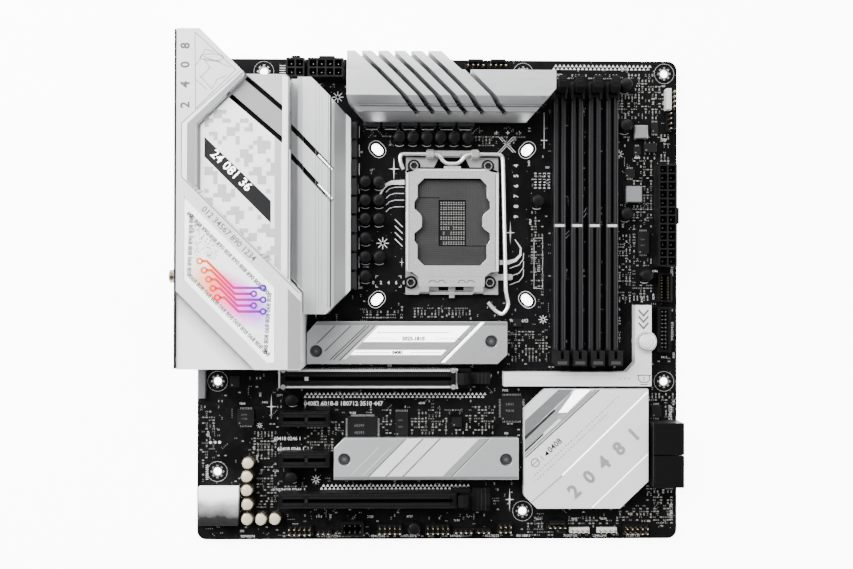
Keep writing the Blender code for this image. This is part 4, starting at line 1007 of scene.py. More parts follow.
def cover_panel(cover):
    """Bevels, band, pattern and ridge of the sunk panel, with painted light and shade: lighter and darker
    patches and strips of the same white, and black strips in the slots' shade.
    """
    # Painted light and shade: patches of the same white, lighter and darker where light falls on the panel.
    cover.flat([(5.5, 174.2), (49.9, 130.6), (49.9, 193.3), (19.2, 219.3), (5.5, 205.1)], PANEL + 0.02)
    cover.flat([(21.2, 220.8), (49.9, 196.4), (49.9, 208.5), (28.0, 227.0)], PANEL + 0.02, WHITE_SHADE)
    cover.flat([(28.6, 229.4), (49.9, 211.7), (48.8, 228.1), (47.6, 229.4)], PANEL + 0.02, WHITE_DIM)
    # Black strips as painted shade inside the slots.
    for start, end in [((27.8, 228.6), (48.0, 211.6)), ((20.6, 219.8), (48.0, 196.4))]:
        cover.stroke([start, end], 2.2, 30.1, BLACK)
    cover.flat([(-3.4, 88.8), (33.0, 88.8), (-3.4, 125.2)], 38.43, fold_shade())
    # Painted shade on a band beside the heatsink, then painted highlight and painted shade strips on the
    # bevels.
    cover.flat([(49.2, 88.9), (55.4, 88.9), (55.4, 120.9), (49.2, 127.1)], ON_COVER, WHITE_SHADE)
    cover.flat([(-1.0, 180.2), (1.4, 178.0), (1.4, 205.2), (-1.0, 205.2)], ON_COVER)
    cover.flat([(1.4, 178.0), (5.3, 174.3), (5.3, 205.2), (1.4, 205.2)], OVER_COVER, WHITE_SHADE)
    cover.flat([(1.4, 205.2), (5.3, 205.2), (27.7, 227.9), (27.7, 230.3)], OVER_COVER, WHITE_SHADE)
    cover.flat([(-1.0, 205.2), (1.4, 205.2), (27.7, 230.3), (26.5, 230.3)], ON_COVER)
    cover.flat([(5.6, 175.0), (7.2, 173.4), (7.2, 205.0), (5.6, 205.0)], PANEL + 0.03, WHITE_SHADE)
    cover.flat([(5.6, 205.0), (7.2, 205.0), (27.9, 225.6), (27.9, 227.5)], PANEL + 0.03, WHITE_SHADE)
    # A darker strip as painted shade and a brighter strip as painted highlight along the panel's right side.
    cover.flat([(42.4, 138.4), (45.6, 135.2), (45.6, 197.0), (42.4, 199.7)], PANEL + 0.05, WHITE_DIM)
    cover.flat([(46.0, 134.8), (48.7, 132.1), (48.7, 228.0), (46.0, 229.2)], PANEL + 0.05)
    blocks_pattern(cover, (9.0, 43.0), (139.0, 213.0), 2.1, PANEL + 0.04, WHITE_DIM)
    band = [(9.0, 199.5), (9.0, 190.0), (40.6, 158.4), (40.6, 169.0)]
    cover.prism(band, (PANEL, PANEL + 0.25), CHARCOAL, chamfer=0.1)
    # The band's numerals glow as painted light.
    numerals(cover, "24 081 36", (11.6, 190.9), 6.2, PANEL + 0.3, WHITE_PAINTED_LIGHT, turn=-45.0, bold=0.07)


def cover_lines(cover):
    """Engraved lines, painted shadow lines along the bevel edges, the fold and the abstract corner drawing,
    drawn dark as painted shade, with print beside them.
    """
    # Painted shadow lines along the bevel edges.
    cover.stroke([(-1.2, 205.6), (-1.2, 180.0), (54.6, 124.9)], 0.4, ON_COVER, WHITE_DEEP_SHADE)
    cover.stroke([(-1.2, 205.4), (27.0, 230.7)], 0.4, ON_COVER, WHITE_DEEP_SHADE)
    # The engraved triangle and corner drawing are drawn in painted shade.
    cover.stroke([(5.0, 248.6), (24.4, 230.9), (5.4, 212.2), (5.0, 248.6)], 0.3, ON_COVER, WHITE_DEEP_SHADE)
    drawing = [[(5.6, 226.0), (10.6, 221.4)], [(7.6, 227.0), (12.2, 231.8), (9.2, 236.0), (17.4, 234.6)],
               [(7.4, 228.0), (13.0, 221.6), (15.6, 226.2), (20.0, 228.0)],
               [(8.8, 237.2), (22.0, 232.0)], [(5.4, 232.8), (10.0, 240.4), (14.2, 239.2)]]
    for line in drawing:
        cover.stroke(line, 0.28, ON_COVER, WHITE_DEEP_SHADE)
    cover.stroke([(13.0 + 5.6 * math.cos(t * math.pi / 9), 236.6 + 1.7 * math.sin(t * math.pi / 9))
                  for t in range(18)], 0.28, ON_COVER, WHITE_DEEP_SHADE, closed=True)
    for digit, y in zip("2408", (212.5, 222.2, 231.6, 240.6)):
        numerals(cover, digit, (2.4, y), 6.0, ON_COVER, GREY_PRINT_AND_SHADE, turn=90.0, bold=0.2)
    # Painted shade in the crease of the fold.
    cover.stroke([(-3.0, 124.9), (33.0, 89.2)], 0.5, 38.45, WHITE_DEEP_SHADE)
    for i in range(3):
        for start in ((3.6 + i * 1.5, 175.0 - i * 1.4), (36.0 + i * 1.5, 142.8 - i * 1.4)):
            cover.stroke([start, (start[0] + 2.6, start[1] + 0.9)], 0.4, ON_COVER, GREY_PRINT_AND_SHADE)
    numerals(cover, "012 34567 890 1234", (8.0, 164.4), 4.2, OVER_COVER, GREY_PRINT_AND_SHADE, turn=-45.0, bold=0.06)
    cover.box((48.9, 49.3), (131.8, 228.0), (20.0, 39.6), WHITE_SHADE)


def trace_emblem(inks, z):
    """Five bent lines with ring ends, like tracks on a circuit board, that carry the coloured light."""
    for i in range(5):
        start = Vector((7.6 + 2.1 * i, 140.0 - 4.3 * i))
        knee = start + Vector((3.4, 0.0))
        fall = 12.6 - 1.5 * i
        turn = knee + Vector((fall, -fall))
        end = Vector((37.6 - 4.4 * (i % 2), turn.y))
        inks.stroke([start + Vector((1.3, 0.0)), knee, turn, end - Vector((1.3, 0.0))], 1.25, z)
        for middle in (start, end):
            inks.ring(middle, 0.75, 1.7, z, GLOW, 14)


def window_print(inks):
    """Border of small numerals, fine specks and the emblem printed on the lit window."""
    z = 40.34
    border = [(1.6, 133.0), (39.6, 95.0), (41.6, 124.6), (2.8, 163.4)]
    for start, end in zip(border, border[1:] + border[:1]):
        run = Vector(end) - Vector(start)
        turn = math.degrees(math.atan2(run.y, run.x))
        groups = int(run.length / 4.6)
        for i in range(groups):
            spot = Vector(start) + run * ((i + 0.2) / groups)
            faint = abs(run.x) > 1.5 and 0.35 < (i + 0.5) / groups < 0.75
            finish = GREY_PRINT_AND_SHADE if faint else DARK_PRINT_AND_SHADE
            numerals(inks, "808" if i % 2 else "068", spot, 2.9, z, finish, turn, 0.08)
    for _ in range(150):
        spot = (CHANCE.uniform(4.5, 17.0), CHANCE.uniform(141.0, 158.0))
        if spot[0] + spot[1] < 165.0:
            inks.brick(spot, (0.55, 0.55), 0.0, (40.3, 40.32), WHITE_SHADE)
    trace_emblem(inks, z + 0.02)


def glow_haze():
    """Soft coloured light round the emblem, from orange at the left to violet at the right."""
    g = Graph("emblem_haze")
    parts = g.node("SeparateXYZ", {0: g.stretched((1, 1, 1))}).outputs
    u = g.math("SUBTRACT", parts[0], 23.5 - CENTRE.x)
    v = g.math("SUBTRACT", parts[1], 123.0 - CENTRE.y)
    lean = g.math("ADD", v, g.math("MULTIPLY", u, 0.5))
    spread = g.math("ADD", g.math("POWER", g.math("DIVIDE", u, 19.0), 2.0),
                    g.math("POWER", g.math("DIVIDE", lean, 10.5), 2.0))
    share = g.remap(g.math("ADD", spread, g.spread(g.noise(0.25), -0.1, 0.1)), 0.3, 1.3, 1.0, 0.0)
    tint = g.ramp(g.remap(parts[0], 6.0 - CENTRE.x, 40.0 - CENTRE.x, 0.0, 1.0),
                  [(0.0, (1.0, 0.26, 0.04)), (0.3, (1.0, 0.20, 0.22)), (0.55, (0.90, 0.16, 0.62)),
                   (1.0, (0.30, 0.12, 0.98))])
    tone = g.mix(share, [0.86, 0.86, 0.87, 1.0], tint)
    g.set(Base_Color=tone, Emission_Color=tone, Emission_Strength=0.9)
    g.set(Roughness=g.spread(g.noise(2.0), 0.16, 0.24), Coat_Weight=0.4)
    g.bump(g.noise(1.0), 0.004)
    return g.material


def fold_shade():
    """White paint in the shadow of the fold, lighter with every millimetre away from it."""
    g = Graph("cover_fold")
    parts = g.node("SeparateXYZ", {0: g.stretched((1, 1, 1))}).outputs
    reach = g.math("SUBTRACT", 121.9 - CENTRE.x - CENTRE.y, g.math("ADD", parts[0], parts[1]))
    wavy = g.math("ADD", reach, g.spread(g.noise(0.3), -0.4, 0.4))
    tone = g.ramp(g.remap(wavy, 0.0, 12.0),
                  [(0.0, (0.17, 0.17, 0.175)), (0.3, (0.50, 0.50, 0.51)), (1.0, (0.84, 0.84, 0.85))])
    g.set(Base_Color=tone, Emission_Color=tone, Emission_Strength=0.25, Roughness=0.38)
    g.bump(g.noise(5.0), 0.005)
    return g.material


def build_cover():
    cover = Shape(COVER_PAINTED_LIGHT)
    cover_panel(cover)
    cover_lines(cover)
    cover.make("cover_details", "white_cover")
    haze = Shape(glow_haze())
    haze.flat([(2.4, 133.4), (38.6, 97.6), (40.4, 99.0), (40.2, 126.0), (2.4, 163.4)], 40.31)
    haze.make("window_haze", "lit_window")
    inks = Shape(GLOW)
    window_print(inks)
    inks.make("window_print", "lit_window")


# ---------------------------------------------------------------------------- heatsinks

M2_TOP = 9.9
HUB_TOP = 10.4


def slanted(shape, low, high, x_low, x_high, lean, z, finish):
    """A strip with level ends whose two sides lean over to the right by the same amount per millimetre."""
    shift = (high - low) * lean
    shape.flat([(x_low, low), (x_high, low), (x_high + shift, high), (x_low + shift, high)], z, finish)


def upper_m2_face(sink):
    """Diagonal cuts drawn dark as painted shade, the pale label with its bands and rules, painted highlight
    strips, and painted shade on the bevelled long edges.
    """
    z = M2_TOP + 0.03
    # Painted shade on the bevelled long edges.
    sink.flat([(61.2, 110.6), (59.6, 108.9), (156.1, 108.9), (156.1, 110.6)], z, SILVER_DIM)
    sink.flat([(56.1, 89.7), (151.4, 89.7), (153.6, 91.8), (56.1, 91.8)], z, SILVER_MID)
    # Painted shade in the diagonal cuts.
    for start, end in [((61.0, 99.7), (70.0, 108.7)), ((64.9, 95.9), (78.0, 108.7)),
                       ((67.5, 91.6), (85.4, 108.7)), ((69.2, 91.6), (87.0, 108.7)),
                       ((72.1, 91.2), (90.2, 108.7))]:
        sink.stroke([start, end], 0.45, z + 0.01, SLATE_AND_SHADE)
    # A painted highlight on one facet; the label's white bands glow as painted light.
    slanted(sink, 91.9, 108.8, 73.6, 75.4, 0.99, z, SILVER_PALE)
    slanted(sink, 100.6, 108.6, 84.0, 129.6, 0.99, z + 0.03, WHITE_PAINTED_LIGHT)
    slanted(sink, 96.6, 100.6, 80.0, 125.6, 0.99, z + 0.03, SILVER_MID)
    slanted(sink, 94.1, 96.6, 77.6, 123.2, 0.99, z + 0.03, WHITE_PAINTED_LIGHT)
    sink.stroke([(80.0, 95.3), (97.6, 95.3)], 0.25, z + 0.06, SLATE_AND_SHADE)
    sink.stroke([(107.4, 95.3), (123.2, 95.3)], 0.25, z + 0.06, SLATE_AND_SHADE)
    numerals(sink, "04081", (98.6, 94.6), 2.2, z + 0.06, BLACK, bold=0.14)
    sink.stroke([(91.6, 105.4), (127.0, 105.4)], 0.3, z + 0.06, BLACK)
    sink.stroke([(91.8, 104.7), (91.8, 106.1)], 0.28, z + 0.06, SLATE_AND_SHADE)
    numerals(sink, "3025-1810", (103.6, 101.4), 2.6, z + 0.06, BLACK, bold=0.14)
    for i in range(11):
        for start in (87.6, 120.4):
            sink.brick((start + i * 1.2, 102.0 + 0.5 * (i % 2)), (0.7, 0.35), 45.0 - 90.0 * (i % 2),
                       (z + 0.02, z + 0.07), BLACK)
    # A painted shade line and a painted highlight strip beside the label.
    sink.stroke([(122.6, 90.4), (141.2, 108.8)], 0.5, z + 0.04, SLATE_AND_SHADE)
    slanted(sink, 90.4, 110.5, 123.0, 125.0, 0.99, z + 0.06, WHITE_PAINTED_LIGHT)


def lower_m2_face(sink):
    """Diagonal grooves and facets of the lower plate in painted light and shade: facets lighter or darker as
    they face the light, grooves dark with a lit edge, and a shaded lower edge.
    """
    z = M2_TOP + 0.03
    # Facets painted lighter and darker by how light falls on them.
    slanted(sink, 33.4, 52.2, 87.6, 95.2, 0.98, z, SILVER_SHEEN)
    slanted(sink, 33.4, 52.2, 96.2, 103.7, 0.98, z, SILVER_PALE)
    slanted(sink, 33.4, 52.2, 104.7, 123.9, 0.98, z, SILVER_PALE)
    slanted(sink, 33.4, 52.2, 123.9, 128.8, 0.98, z, SILVER_MID)
    # Painted shade in each groove and a painted highlight on its edge.
    for x in (87.0, 95.7, 104.2, 128.6):
        sink.stroke([(x, 33.2), (x + 18.6, 52.2)], 0.35, z + 0.03, BLACK)
        sink.stroke([(x + 0.5, 33.2), (x + 19.1, 52.2)], 0.3, z + 0.02, SILVER_PALE)
    # Painted shade along the lower edge.
    sink.flat([(69.9, 31.8), (161.9, 31.8), (161.9, 33.2), (69.9, 33.2)], z + 0.01, SILVER_DIM)
    # Two painted highlight lines.
    for x in (78.0, 84.0):
        sink.stroke([(x, 34.0), (x + 14.0, 48.0)], 0.25, z, SILVER_PALE)


def screw_heads(sink):
    """Star sockets in the heads of the plates' screws, drawn dark as painted shade in the recess, with a
    dark ring round each head.
    """
    for x, y in [(60.6, 95.9), (148.3, 100.9), (74.8, 41.8), (155.8, 41.6)]:
        sink.ring((x, y), 2.75, 3.05, M2_TOP + 0.04, SLATE_AND_SHADE)
        # Painted shade in the star socket.
        for i in range(3):
            angle = math.radians(60 * i)
            reach = Vector((math.cos(angle), math.sin(angle)))
            sink.stroke([Vector((x, y)) - reach, Vector((x, y)) + reach], 0.4, 9.53, GREY_PRINT_AND_SHADE)


def hub_face(sink):
    """Facets and bands across the square heatsink, painted lighter and darker as light falls on them, with
    painted highlight and shade lines.
    """
    z = HUB_TOP + 0.03
    # Painted light and shade: bands of lighter and darker metal for the facets, with bright lines as painted
    # highlights and dark lines as painted shade.
    sink.flat([(165.1, 61.2), (182.0, 76.8), (175.6, 76.8), (165.1, 66.6)], z, SILVER_PALE)
    sink.flat([(165.1, 53.4), (189.6, 76.8), (182.0, 76.8), (165.1, 61.2)], z, SILVER_DIM)
    sink.flat([(165.1, 51.4), (180.4, 66.0), (180.0, 67.2), (165.1, 53.4)], z + 0.01, SLATE_AND_SHADE)
    sink.flat([(165.1, 46.4), (191.0, 70.4), (188.0, 75.2), (165.1, 51.4)], z, SILVER_MID)
    sink.flat([(165.1, 45.2), (174.6, 54.2), (174.2, 54.8), (165.1, 46.5)], z + 0.02, SLATE_AND_SHADE)
    sink.flat([(182.0, 65.2), (186.4, 65.4), (198.2, 76.8), (190.6, 76.8)], z + 0.02, WHITE_PAINTED_LIGHT)
    sink.flat([(181.0, 62.6), (184.0, 61.6), (199.0, 75.6), (198.2, 76.8)], z + 0.02)
    sink.flat([(165.1, 43.4), (202.0, 76.8), (200.2, 76.8), (165.1, 44.8)], z + 0.03, SILVER_MID)
    sink.stroke([(165.3, 42.6), (202.6, 76.7)], 0.55, z + 0.05, SLATE_AND_SHADE)
    sink.stroke([(184.0, 33.8), (226.9, 75.6)], 0.6, z + 0.02, WHITE_PAINTED_LIGHT)
    sink.stroke([(168.6, 20.4), (184.2, 33.9)], 0.5, z + 0.02, SILVER_MID)
    sink.stroke([(199.1, 17.8), (227.0, 44.4)], 0.4, z + 0.02, WHITE_PAINTED_LIGHT)
    sink.flat([(185.2, 33.6), (168.9, 19.8), (171.6, 17.5), (198.6, 17.5), (227.0, 44.8), (227.0, 74.0)], z,
              SILVER_SHEEN)


def hub_marks(sink):
    """Two dashed rows and a few plain marks beside the raised numerals."""
    z = HUB_TOP + 0.03
    for row, (x, y) in enumerate([(169.0, 32.8), (170.4, 30.8)]):
        for i in range(34 - row * 5):
            spot = (x + i * 1.3, y + i * 1.22)
            sink.brick(spot, (0.9 if i % 4 else 0.5, 0.6), 43.0, (z, z + 0.03), SILVER_MID)
    sink.flat([(175.4, 43.6), (177.6, 44.6), (175.8, 46.2)], z + 0.03, BLACK)
    sink.stroke([(173.0, 43.6), (174.8, 41.8)], 0.3, z + 0.03, GREY_PRINT_AND_SHADE)
    numerals(sink, "0408", (178.0, 45.0), 4.2, z + 0.04, SLATE_AND_SHADE, turn=43.0, bold=0.06)
    sink.stroke(circle((170.4, 40.2), 2.0, 20), 0.45, z + 0.03, GREY_PRINT_AND_SHADE, closed=True)
    sink.stroke([(168.8, 38.8), (172.0, 41.6)], 0.4, z + 0.03, GREY_PRINT_AND_SHADE)


def hub_numerals():
    """Five broad plain numerals standing a little proud of the square heatsink, each over a paler offset
    copy that is a painted highlight on its edge.
    """
    raised = Shape(SILVER_MID)
    for i, digit in enumerate("20481"):
        x, y = 190.4 + i * 7.5, 22.0 + i * 7.1
        # The paler copy, offset and a little lower, is a painted highlight.
        numerals(raised, digit, (x - 0.25, y + 0.25), 9.5, HUB_TOP + 0.10, SILVER_PALE, turn=43.5, bold=0.35)
        numerals(raised, digit, (x, y), 9.5, HUB_TOP + 0.16, turn=43.5, bold=0.35)
    return raised


def groove_lining(sink, top):
    """Painted shade in a diagonal groove that starts at x 47 at the given y, with one painted lit edge."""
    def at(x):
        return top - (x - 47.0) * 1.044

    # Black flats stand in for the shade in the groove.
    for x, z in [((49.4, 52.4), 24.06), ((52.8, 55.3), 30.06), ((55.3, 66.0), 26.0)]:
        sink.flat([(x[0], at(x[0]) - 1.55), (x[1], at(x[1]) - 1.55), (x[1], at(x[1]) + 1.55),
                   (x[0], at(x[0]) + 1.55)], z, BLACK)
    sink.stroke([(62.6, at(62.6)), (69.4, at(69.4))], 0.7, 27.5, WHITE_PAINTED_LIGHT)


def left_tower(sink):
    """Painted shade in the valley and on the step, fold lines and a painted highlight on the pale outer edge
    of the heatsink beside the cover.
    """
    # Painted shade in the valley.
    sink.flat([(49.4, 133.0), (52.3, 130.2), (52.3, 229.3), (49.4, 229.3)], 24.03, SILVER_MID)
    sink.add([(52.8, 129.6, 30.0), (52.8, 229.4, 30.03), (55.2, 229.4, 30.03), (55.2, 127.0, 30.03)],
             [[3, 2, 1, 0]], SILVER_MID)
    # Painted highlight on the pale outer edge of the slope.
    slope = [(75.6, 18.53), (77.88, 16.63)]
    sink.add([(slope[0][0], 124.6, slope[0][1]), (slope[1][0], 127.0, slope[1][1]),
              (slope[1][0], 211.4, slope[1][1]), (slope[0][0], 213.6, slope[0][1])],
             [[0, 1, 2, 3]], SILVER_SHEEN)
    # Painted shade on the step down, with a dark painted shade line beside it.
    sink.add([(68.45, 118.0, 30.03), (69.05, 118.0, 27.23), (69.05, 219.6, 27.23), (68.45, 220.2, 30.03)],
             [[0, 1, 2, 3]], SLATE_AND_SHADE)
    sink.stroke([(67.6, 118.0), (67.6, 221.0)], 0.35, 30.03, SILVER_DIM)
    for top in (208.4, 194.2):
        groove_lining(sink, top)
    for i in range(3):
        x = 61.6 + i * 1.5
        sink.stroke([(x, 116.4 + i * 1.4), (x, 226.8 - i * 1.6)], 0.16, 30.03, SILVER_DIM)


def top_tower(sink):
    """Ridge lines on the front steps of the heatsink above the socket, drawn dark as painted shade, and
    black flats as painted shade on the floors of its slots.
    """
    # Dark painted shade lines at the step edges.
    for y, z in [(217.3, 27.6), (216.5, 24.65), (214.0, 23.72)]:
        sink.stroke([(79.4 + (220.0 - y) * 0.8, y), (170.4 + (y - 214.0) * 1.0, y)], 0.3, z + 0.05, SLATE_AND_SHADE)
    # Black flats as painted shade on the slot floors.
    for total in (324.3, 332.3, 340.3, 348.3, 356.6, 367.4):
        sink.stroke([(total - 237.0, 237.0), (total - 213.9, 213.9)], 2.0, 21.0, BLACK)


def build_heatsinks():
    plates = Shape(SILVER_X)
    upper_m2_face(plates)
    lower_m2_face(plates)
    screw_heads(plates)
    hub_face(plates)
    hub_marks(plates)
    plates.make("plate_faces", "silver_aluminium")
    hub_numerals().make("hub_numerals", "silver_aluminium")
    towers = Shape(SILVER_X)
    left_tower(towers)
    top_tower(towers)
    towers.make("tower_faces", "silver_aluminium")


# ---------------------------------------------------------------------------- socket and slots

MEMORY_X = (183.0, 191.9, 200.8, 209.7)
CARD_SLOT_Y = (82.25, 61.93, 41.61, 21.29)
CARD_TOP = 11.2


def contact_lines(fine):
    """Rows of contacts in two L-shaped areas, with painted shade in the gaps round the middle."""
    for i in range(46):
        y = 138.0 + i * 0.97
        if y < 173.0:
            fine.stroke([(110.6, y), (147.4 if y < 148.6 else 122.0, y)], 0.4, 3.13)
    for i in range(40):
        x = 110.9 + i * 0.93
        fine.stroke([(x, 149.4 if x > 135.8 else 173.6), (x, 182.2)], 0.4, 3.13)
    # Near-black strokes as painted shade in the gaps.
    for y, x in [(173.4, (110.6, 122.4)), (149.0, (135.4, 147.4))]:
        fine.stroke([(x[0], y), (x[1], y)], 0.35, 3.14, SHADE_BLACK)
    fine.stroke(rectangle((122.2, 135.6), (149.2, 172.0)), 0.5, 3.14, SHADE_BLACK, closed=True)


def middle_parts(fine):
    """Pairs of small capacitors in the middle of the socket, with some places left empty."""
    for pair in range(9):
        for column in range(10):
            worn = pair > 3 and column < 5
            if worn and CHANCE.random() < 0.3:
                continue
            for end in (0.0, 1.0):
                spot = (123.3 + column * 1.27, 171.1 - pair * 2.52 - end)
                fine.brick(spot, (0.7, 0.6), 0.0, (2.2, 2.75), TIN)


def screw_drives(fine):
    """Star drives and rims of the four socket screws drawn dark as painted shade, with a painted shadow ring
    on the frame round each.
    """
    for x, y in SOCKET_SCREWS:
        fine.ring((x, y), 1.6, 2.15, 4.34, SILVER_DIM, 24)
        # Painted shade on the rim of the head and a painted shadow ring on the frame below it.
        fine.ring((x, y), 2.15, 2.5, 4.33, SHADE_BLACK, 24)
        fine.ring((x, y), 2.75, 3.3, 1.9, SHADE_BLACK, 24)
        for turn in range(0, 360, 60):
            lobe = (x + 1.45 * math.cos(math.radians(turn)), y + 1.45 * math.sin(math.radians(turn)))
            fine.brick(lobe, (0.6, 0.4), turn, (4.3, 4.36), SHADE_BLACK)


def socket_details():
    """Contacts, middle parts, screw drives and the shade under the plate's edge."""
    fine = Shape(SLATE_AND_SHADE)
    contact_lines(fine)
    middle_parts(fine)
    screw_drives(fine)
    shade_under_plate = [(105.6, 186.2), (111.2, 188.0), (145.4, 188.0), (152.0, 186.2), (152.0, 187.2),
                         (146.4, 189.0), (137.8, 189.0), (135.2, 194.0), (122.2, 194.0), (119.6, 189.0),
                         (110.2, 189.0), (105.6, 187.2)]
    fine.flat(shade_under_plate, 1.86, SHADE_BLACK)
    for x in [(122.0, 126.9), (130.6, 134.8)]:
        fine.flat(rectangle(x, (126.5, 128.3)), 1.86, SHADE_BLACK)
    fine.stroke([(112.4, 126.1), (144.6, 126.1)], 0.3, 1.88, SHADE_BLACK)
    fine.make("socket_details", "contact_grey")


def plate_folds():
    """Fold lines drawn dark as painted shade, bright edges as painted highlights, and a stamped number on
    the load plate.
    """
    folds = Shape(SILVER_PALE)
    z = 6.24
    # Painted shade in each fold line and a painted highlight on its bright edge.
    for line, bright in [(106.9, 106.1), (150.5, 151.4)]:
        folds.stroke([(line, 136.6), (line, 185.2)], 0.25, z, DARK_PRINT_AND_SHADE)
        folds.stroke([(bright, 136.6), (bright, 185.2)], 0.9, z)
    folds.stroke([(111.6, 187.2), (145.0, 187.2)], 0.4, z)
    for x in (118.9, 123.4, 133.6, 138.1):
        folds.stroke(arc((x, 129.6), 2.0, 15, 165, 10), 0.4, z, DARK_PRINT_AND_SHADE)
    folds.stroke([(114.0, 133.6), (143.4, 133.6)], 0.3, z, SILVER_MID)
    for x in (111.9, 145.8):
        folds.stroke([(x, 158.9), (x, 163.3)], 0.25, z, SILVER_MID)
    numerals(folds, "17", (136.0, 135.0), 1.6, z, SILVER_MID)
    folds.make("plate_folds", "bright_steel", "load_plate")


def memory_details():
    """Contact springs along both sides of each groove, the key bars and the tower steps."""
    fine = Shape(FERRITE)
    for x in MEMORY_X:
        for side in (-1, 1):
            for i in range(150):
                y = 93.6 + i * 0.87
                if not 158.2 < y < 161.2:
                    fine.brick((x + side * 1.45, y), (0.7, 0.34), 0.0, (6.8, 6.86))
            fine.box(about(x + side * 2.6, 0.2), (97.4, 222.6), (6.8, 6.95))
            fine.box(about(x + side * 3.41, 0.03), (90.0, 95.6), (3.0, 16.0), CHARCOAL)
        fine.box(about(x, 2.85), (158.7, 160.0), (6.8, 6.92), IVORY)
        fine.flat(rectangle(about(x, 2.4), (89.8, 91.4)), 17.53)
    fine.make("memory_details", "black_plastic")
    for i, x in enumerate(MEMORY_X):
        grip = Shape(CHARCOAL)
        for k in range(3):
            y = 230.2 + k * 1.1
            grip.box(about(x, 1.5), (y, y + 0.4), (18.6, 18.8), chamfer=0.05)
        grip.make("memory_grip_%d" % (i + 1), "black_plastic", "dimm_latch_%d" % (i + 1))


def card_details():
    """Contacts beside the card grooves, rivets and edge lines of the armoured slot."""
    fine = Shape(CHARCOAL)
    spans = [(43.2, 130.2), (42.5, 67.5), (42.5, 67.5), (42.2, 131.0)]
    for y, span in zip(CARD_SLOT_Y, spans):
        for side in (-1, 1):
            for i in range(int((span[1] - span[0] - 5.0) / 1.0)):
                x = span[0] + 2.6 + i
                if abs(x - 55.9) > 1.2:
                    fine.brick((x, y + side * 1.75), (0.42, 1.1), 0.0, (CARD_TOP, CARD_TOP + 0.05))
            fine.box((span[0] + 1.0, span[1] - 1.0), about(y + side * 3.1, 0.15),
                     (CARD_TOP, CARD_TOP + 0.1))
        fine.box((55.3, 56.6), about(y, 0.9), (CARD_TOP, CARD_TOP + 0.12))
    upper = CARD_SLOT_Y[0]
    plate = (CARD_TOP + 0.1, CARD_TOP + 0.3)
    fine.box((55.0, 56.9), about(upper, 0.95), plate, BRIGHT_STEEL, chamfer=0.05)
    for side in (-1, 1):
        y = upper + side * 4.1
        fine.box((46.2, 127.6), about(y, 0.5), (11.62, 11.82), IVORY, chamfer=0.1)
        rim = upper + side * 4.85
        # A black line as painted shade along the rim, and a black patch as painted shade at the slot's end.
        fine.box((42.2, 129.8), about(rim, 0.22), (11.6, 11.7), SHADE_BLACK)
        fine.box((127.9, 129.8), about(y, 0.9), (11.6, 11.72), SHADE_BLACK)
        for x in (44.4, 129.2):
            fine.turned((x, y, 0.0), [(1.35, 11.6), (1.35, 11.9), (1.0, 12.05)], GREY, 20)
            fine.ring((x, y), 0.55, 0.95, 12.07, BRIGHT_STEEL, 20)
    fine.make("card_details", "black_plastic")
    latches = [("pcie_latch_upper", CARD_SLOT_Y[0], 2.6), ("pcie_latch_lower", CARD_SLOT_Y[3], 5.2)]
    for name, y, half in latches:
        grip = Shape(CHARCOAL)
        for i in range(3):
            x = 141.6 + i * 1.9
            z = 6.85 + i * 0.33
            grip.box((x, x + 0.5), about(y, half), (z, z + 0.55), chamfer=0.05)
        grip.make(name + "_grip", "black_plastic", name)


# ---------------------------------------------------------------------------- rail and sockets

def rail_details():
    """Raised arrowheads, dots and a plain badge on the cover rail, and a stepped button cap."""
    fine = Shape(WHITE_DIM)
    z = 9.03
    for i in range(3):
        y = 116.8 - i * 3.2
        fine.stroke([(222.6, y), (225.1, y - 2.9), (227.6, y)], 0.9, z, GREY_PRINT_AND_SHADE)
    for x in (213.4, 215.6, 217.8):
        fine.flat(circle((x, 82.2), 0.3, 10), z, GREY_PRINT_AND_SHADE)
    fine.stroke([(222.6, 83.8), (222.6, 81.6), (224.2, 80.2), (226.8, 80.2), (228.2, 81.6), (228.2, 83.8)],
                0.4, z, DARK_PRINT_AND_SHADE)
    fine.stroke([(221.8, 83.9), (229.0, 83.9)], 0.4, z, DARK_PRINT_AND_SHADE)
    fine.stroke([(223.6, 79.2), (227.2, 79.2)], 0.45, z, DARK_PRINT_AND_SHADE)
    numerals(fine, "1", (224.7, 81.2), 2.6, z, DARK_PRINT_AND_SHADE, bold=0.05)
    fine.stroke([(156.0, 80.0), (212.0, 80.0)], 0.15, z)
    fine.stroke([(158.0, 83.9), (209.0, 83.9)], 0.15, z)
    fine.ring((226.3, 100.8), 4.5, 5.3, 9.73, WHITE_DIM, 32)
    fine.make("rail_details", "white_cover")
    cap = Shape(WHITE)
    cap.turned((226.3, 100.8, 0.0), [(2.9, 14.2), (2.8, 14.5), (2.5, 14.62)], WHITE, 28)
    cap.ring((226.3, 100.8), 2.95, 3.25, 14.22, WHITE_DIM, 28)
    cap.make("button_cap", "white_cover", "release_button")


POWER_PITCH = 4.2


def power_pins():
    """Plated pins in the power sockets, with a guide ridge on each cell."""
    fine = Shape(TIN)
    groups = [((231.8, 241.2), (138.6, 190.0), 2, 12), ((56.2, 74.1), (232.6, 242.2), 4, 2),
              ((45.5, 54.7), (232.6, 242.2), 2, 2)]
    for x, y, columns, rows in groups:
        for column in range(columns):
            for row in range(rows):
                u = sum(x) / 2 + (column - (columns - 1) / 2) * POWER_PITCH
                v = sum(y) / 2 + (row - (rows - 1) / 2) * POWER_PITCH
                finish = GREY if rows == 12 else TIN
                fine.box(about(u, 0.4), about(v, 0.4), (4.0, 10.6), finish, chamfer=0.2)
                guide = rectangle(about(u, 1.9), about(v, 1.9))
                fine.stroke(guide, 0.2, 13.13, CHARCOAL, closed=True)
    for row in range(10):
        for column in range(2):
            u, v = 234.9 + column * 1.9, 97.9 + row * 2.0
            fine.box(about(u, 0.3), about(v, 0.3), (1.6, 7.6), chamfer=0.15)
    fine.make("socket_pins", "black_plastic")


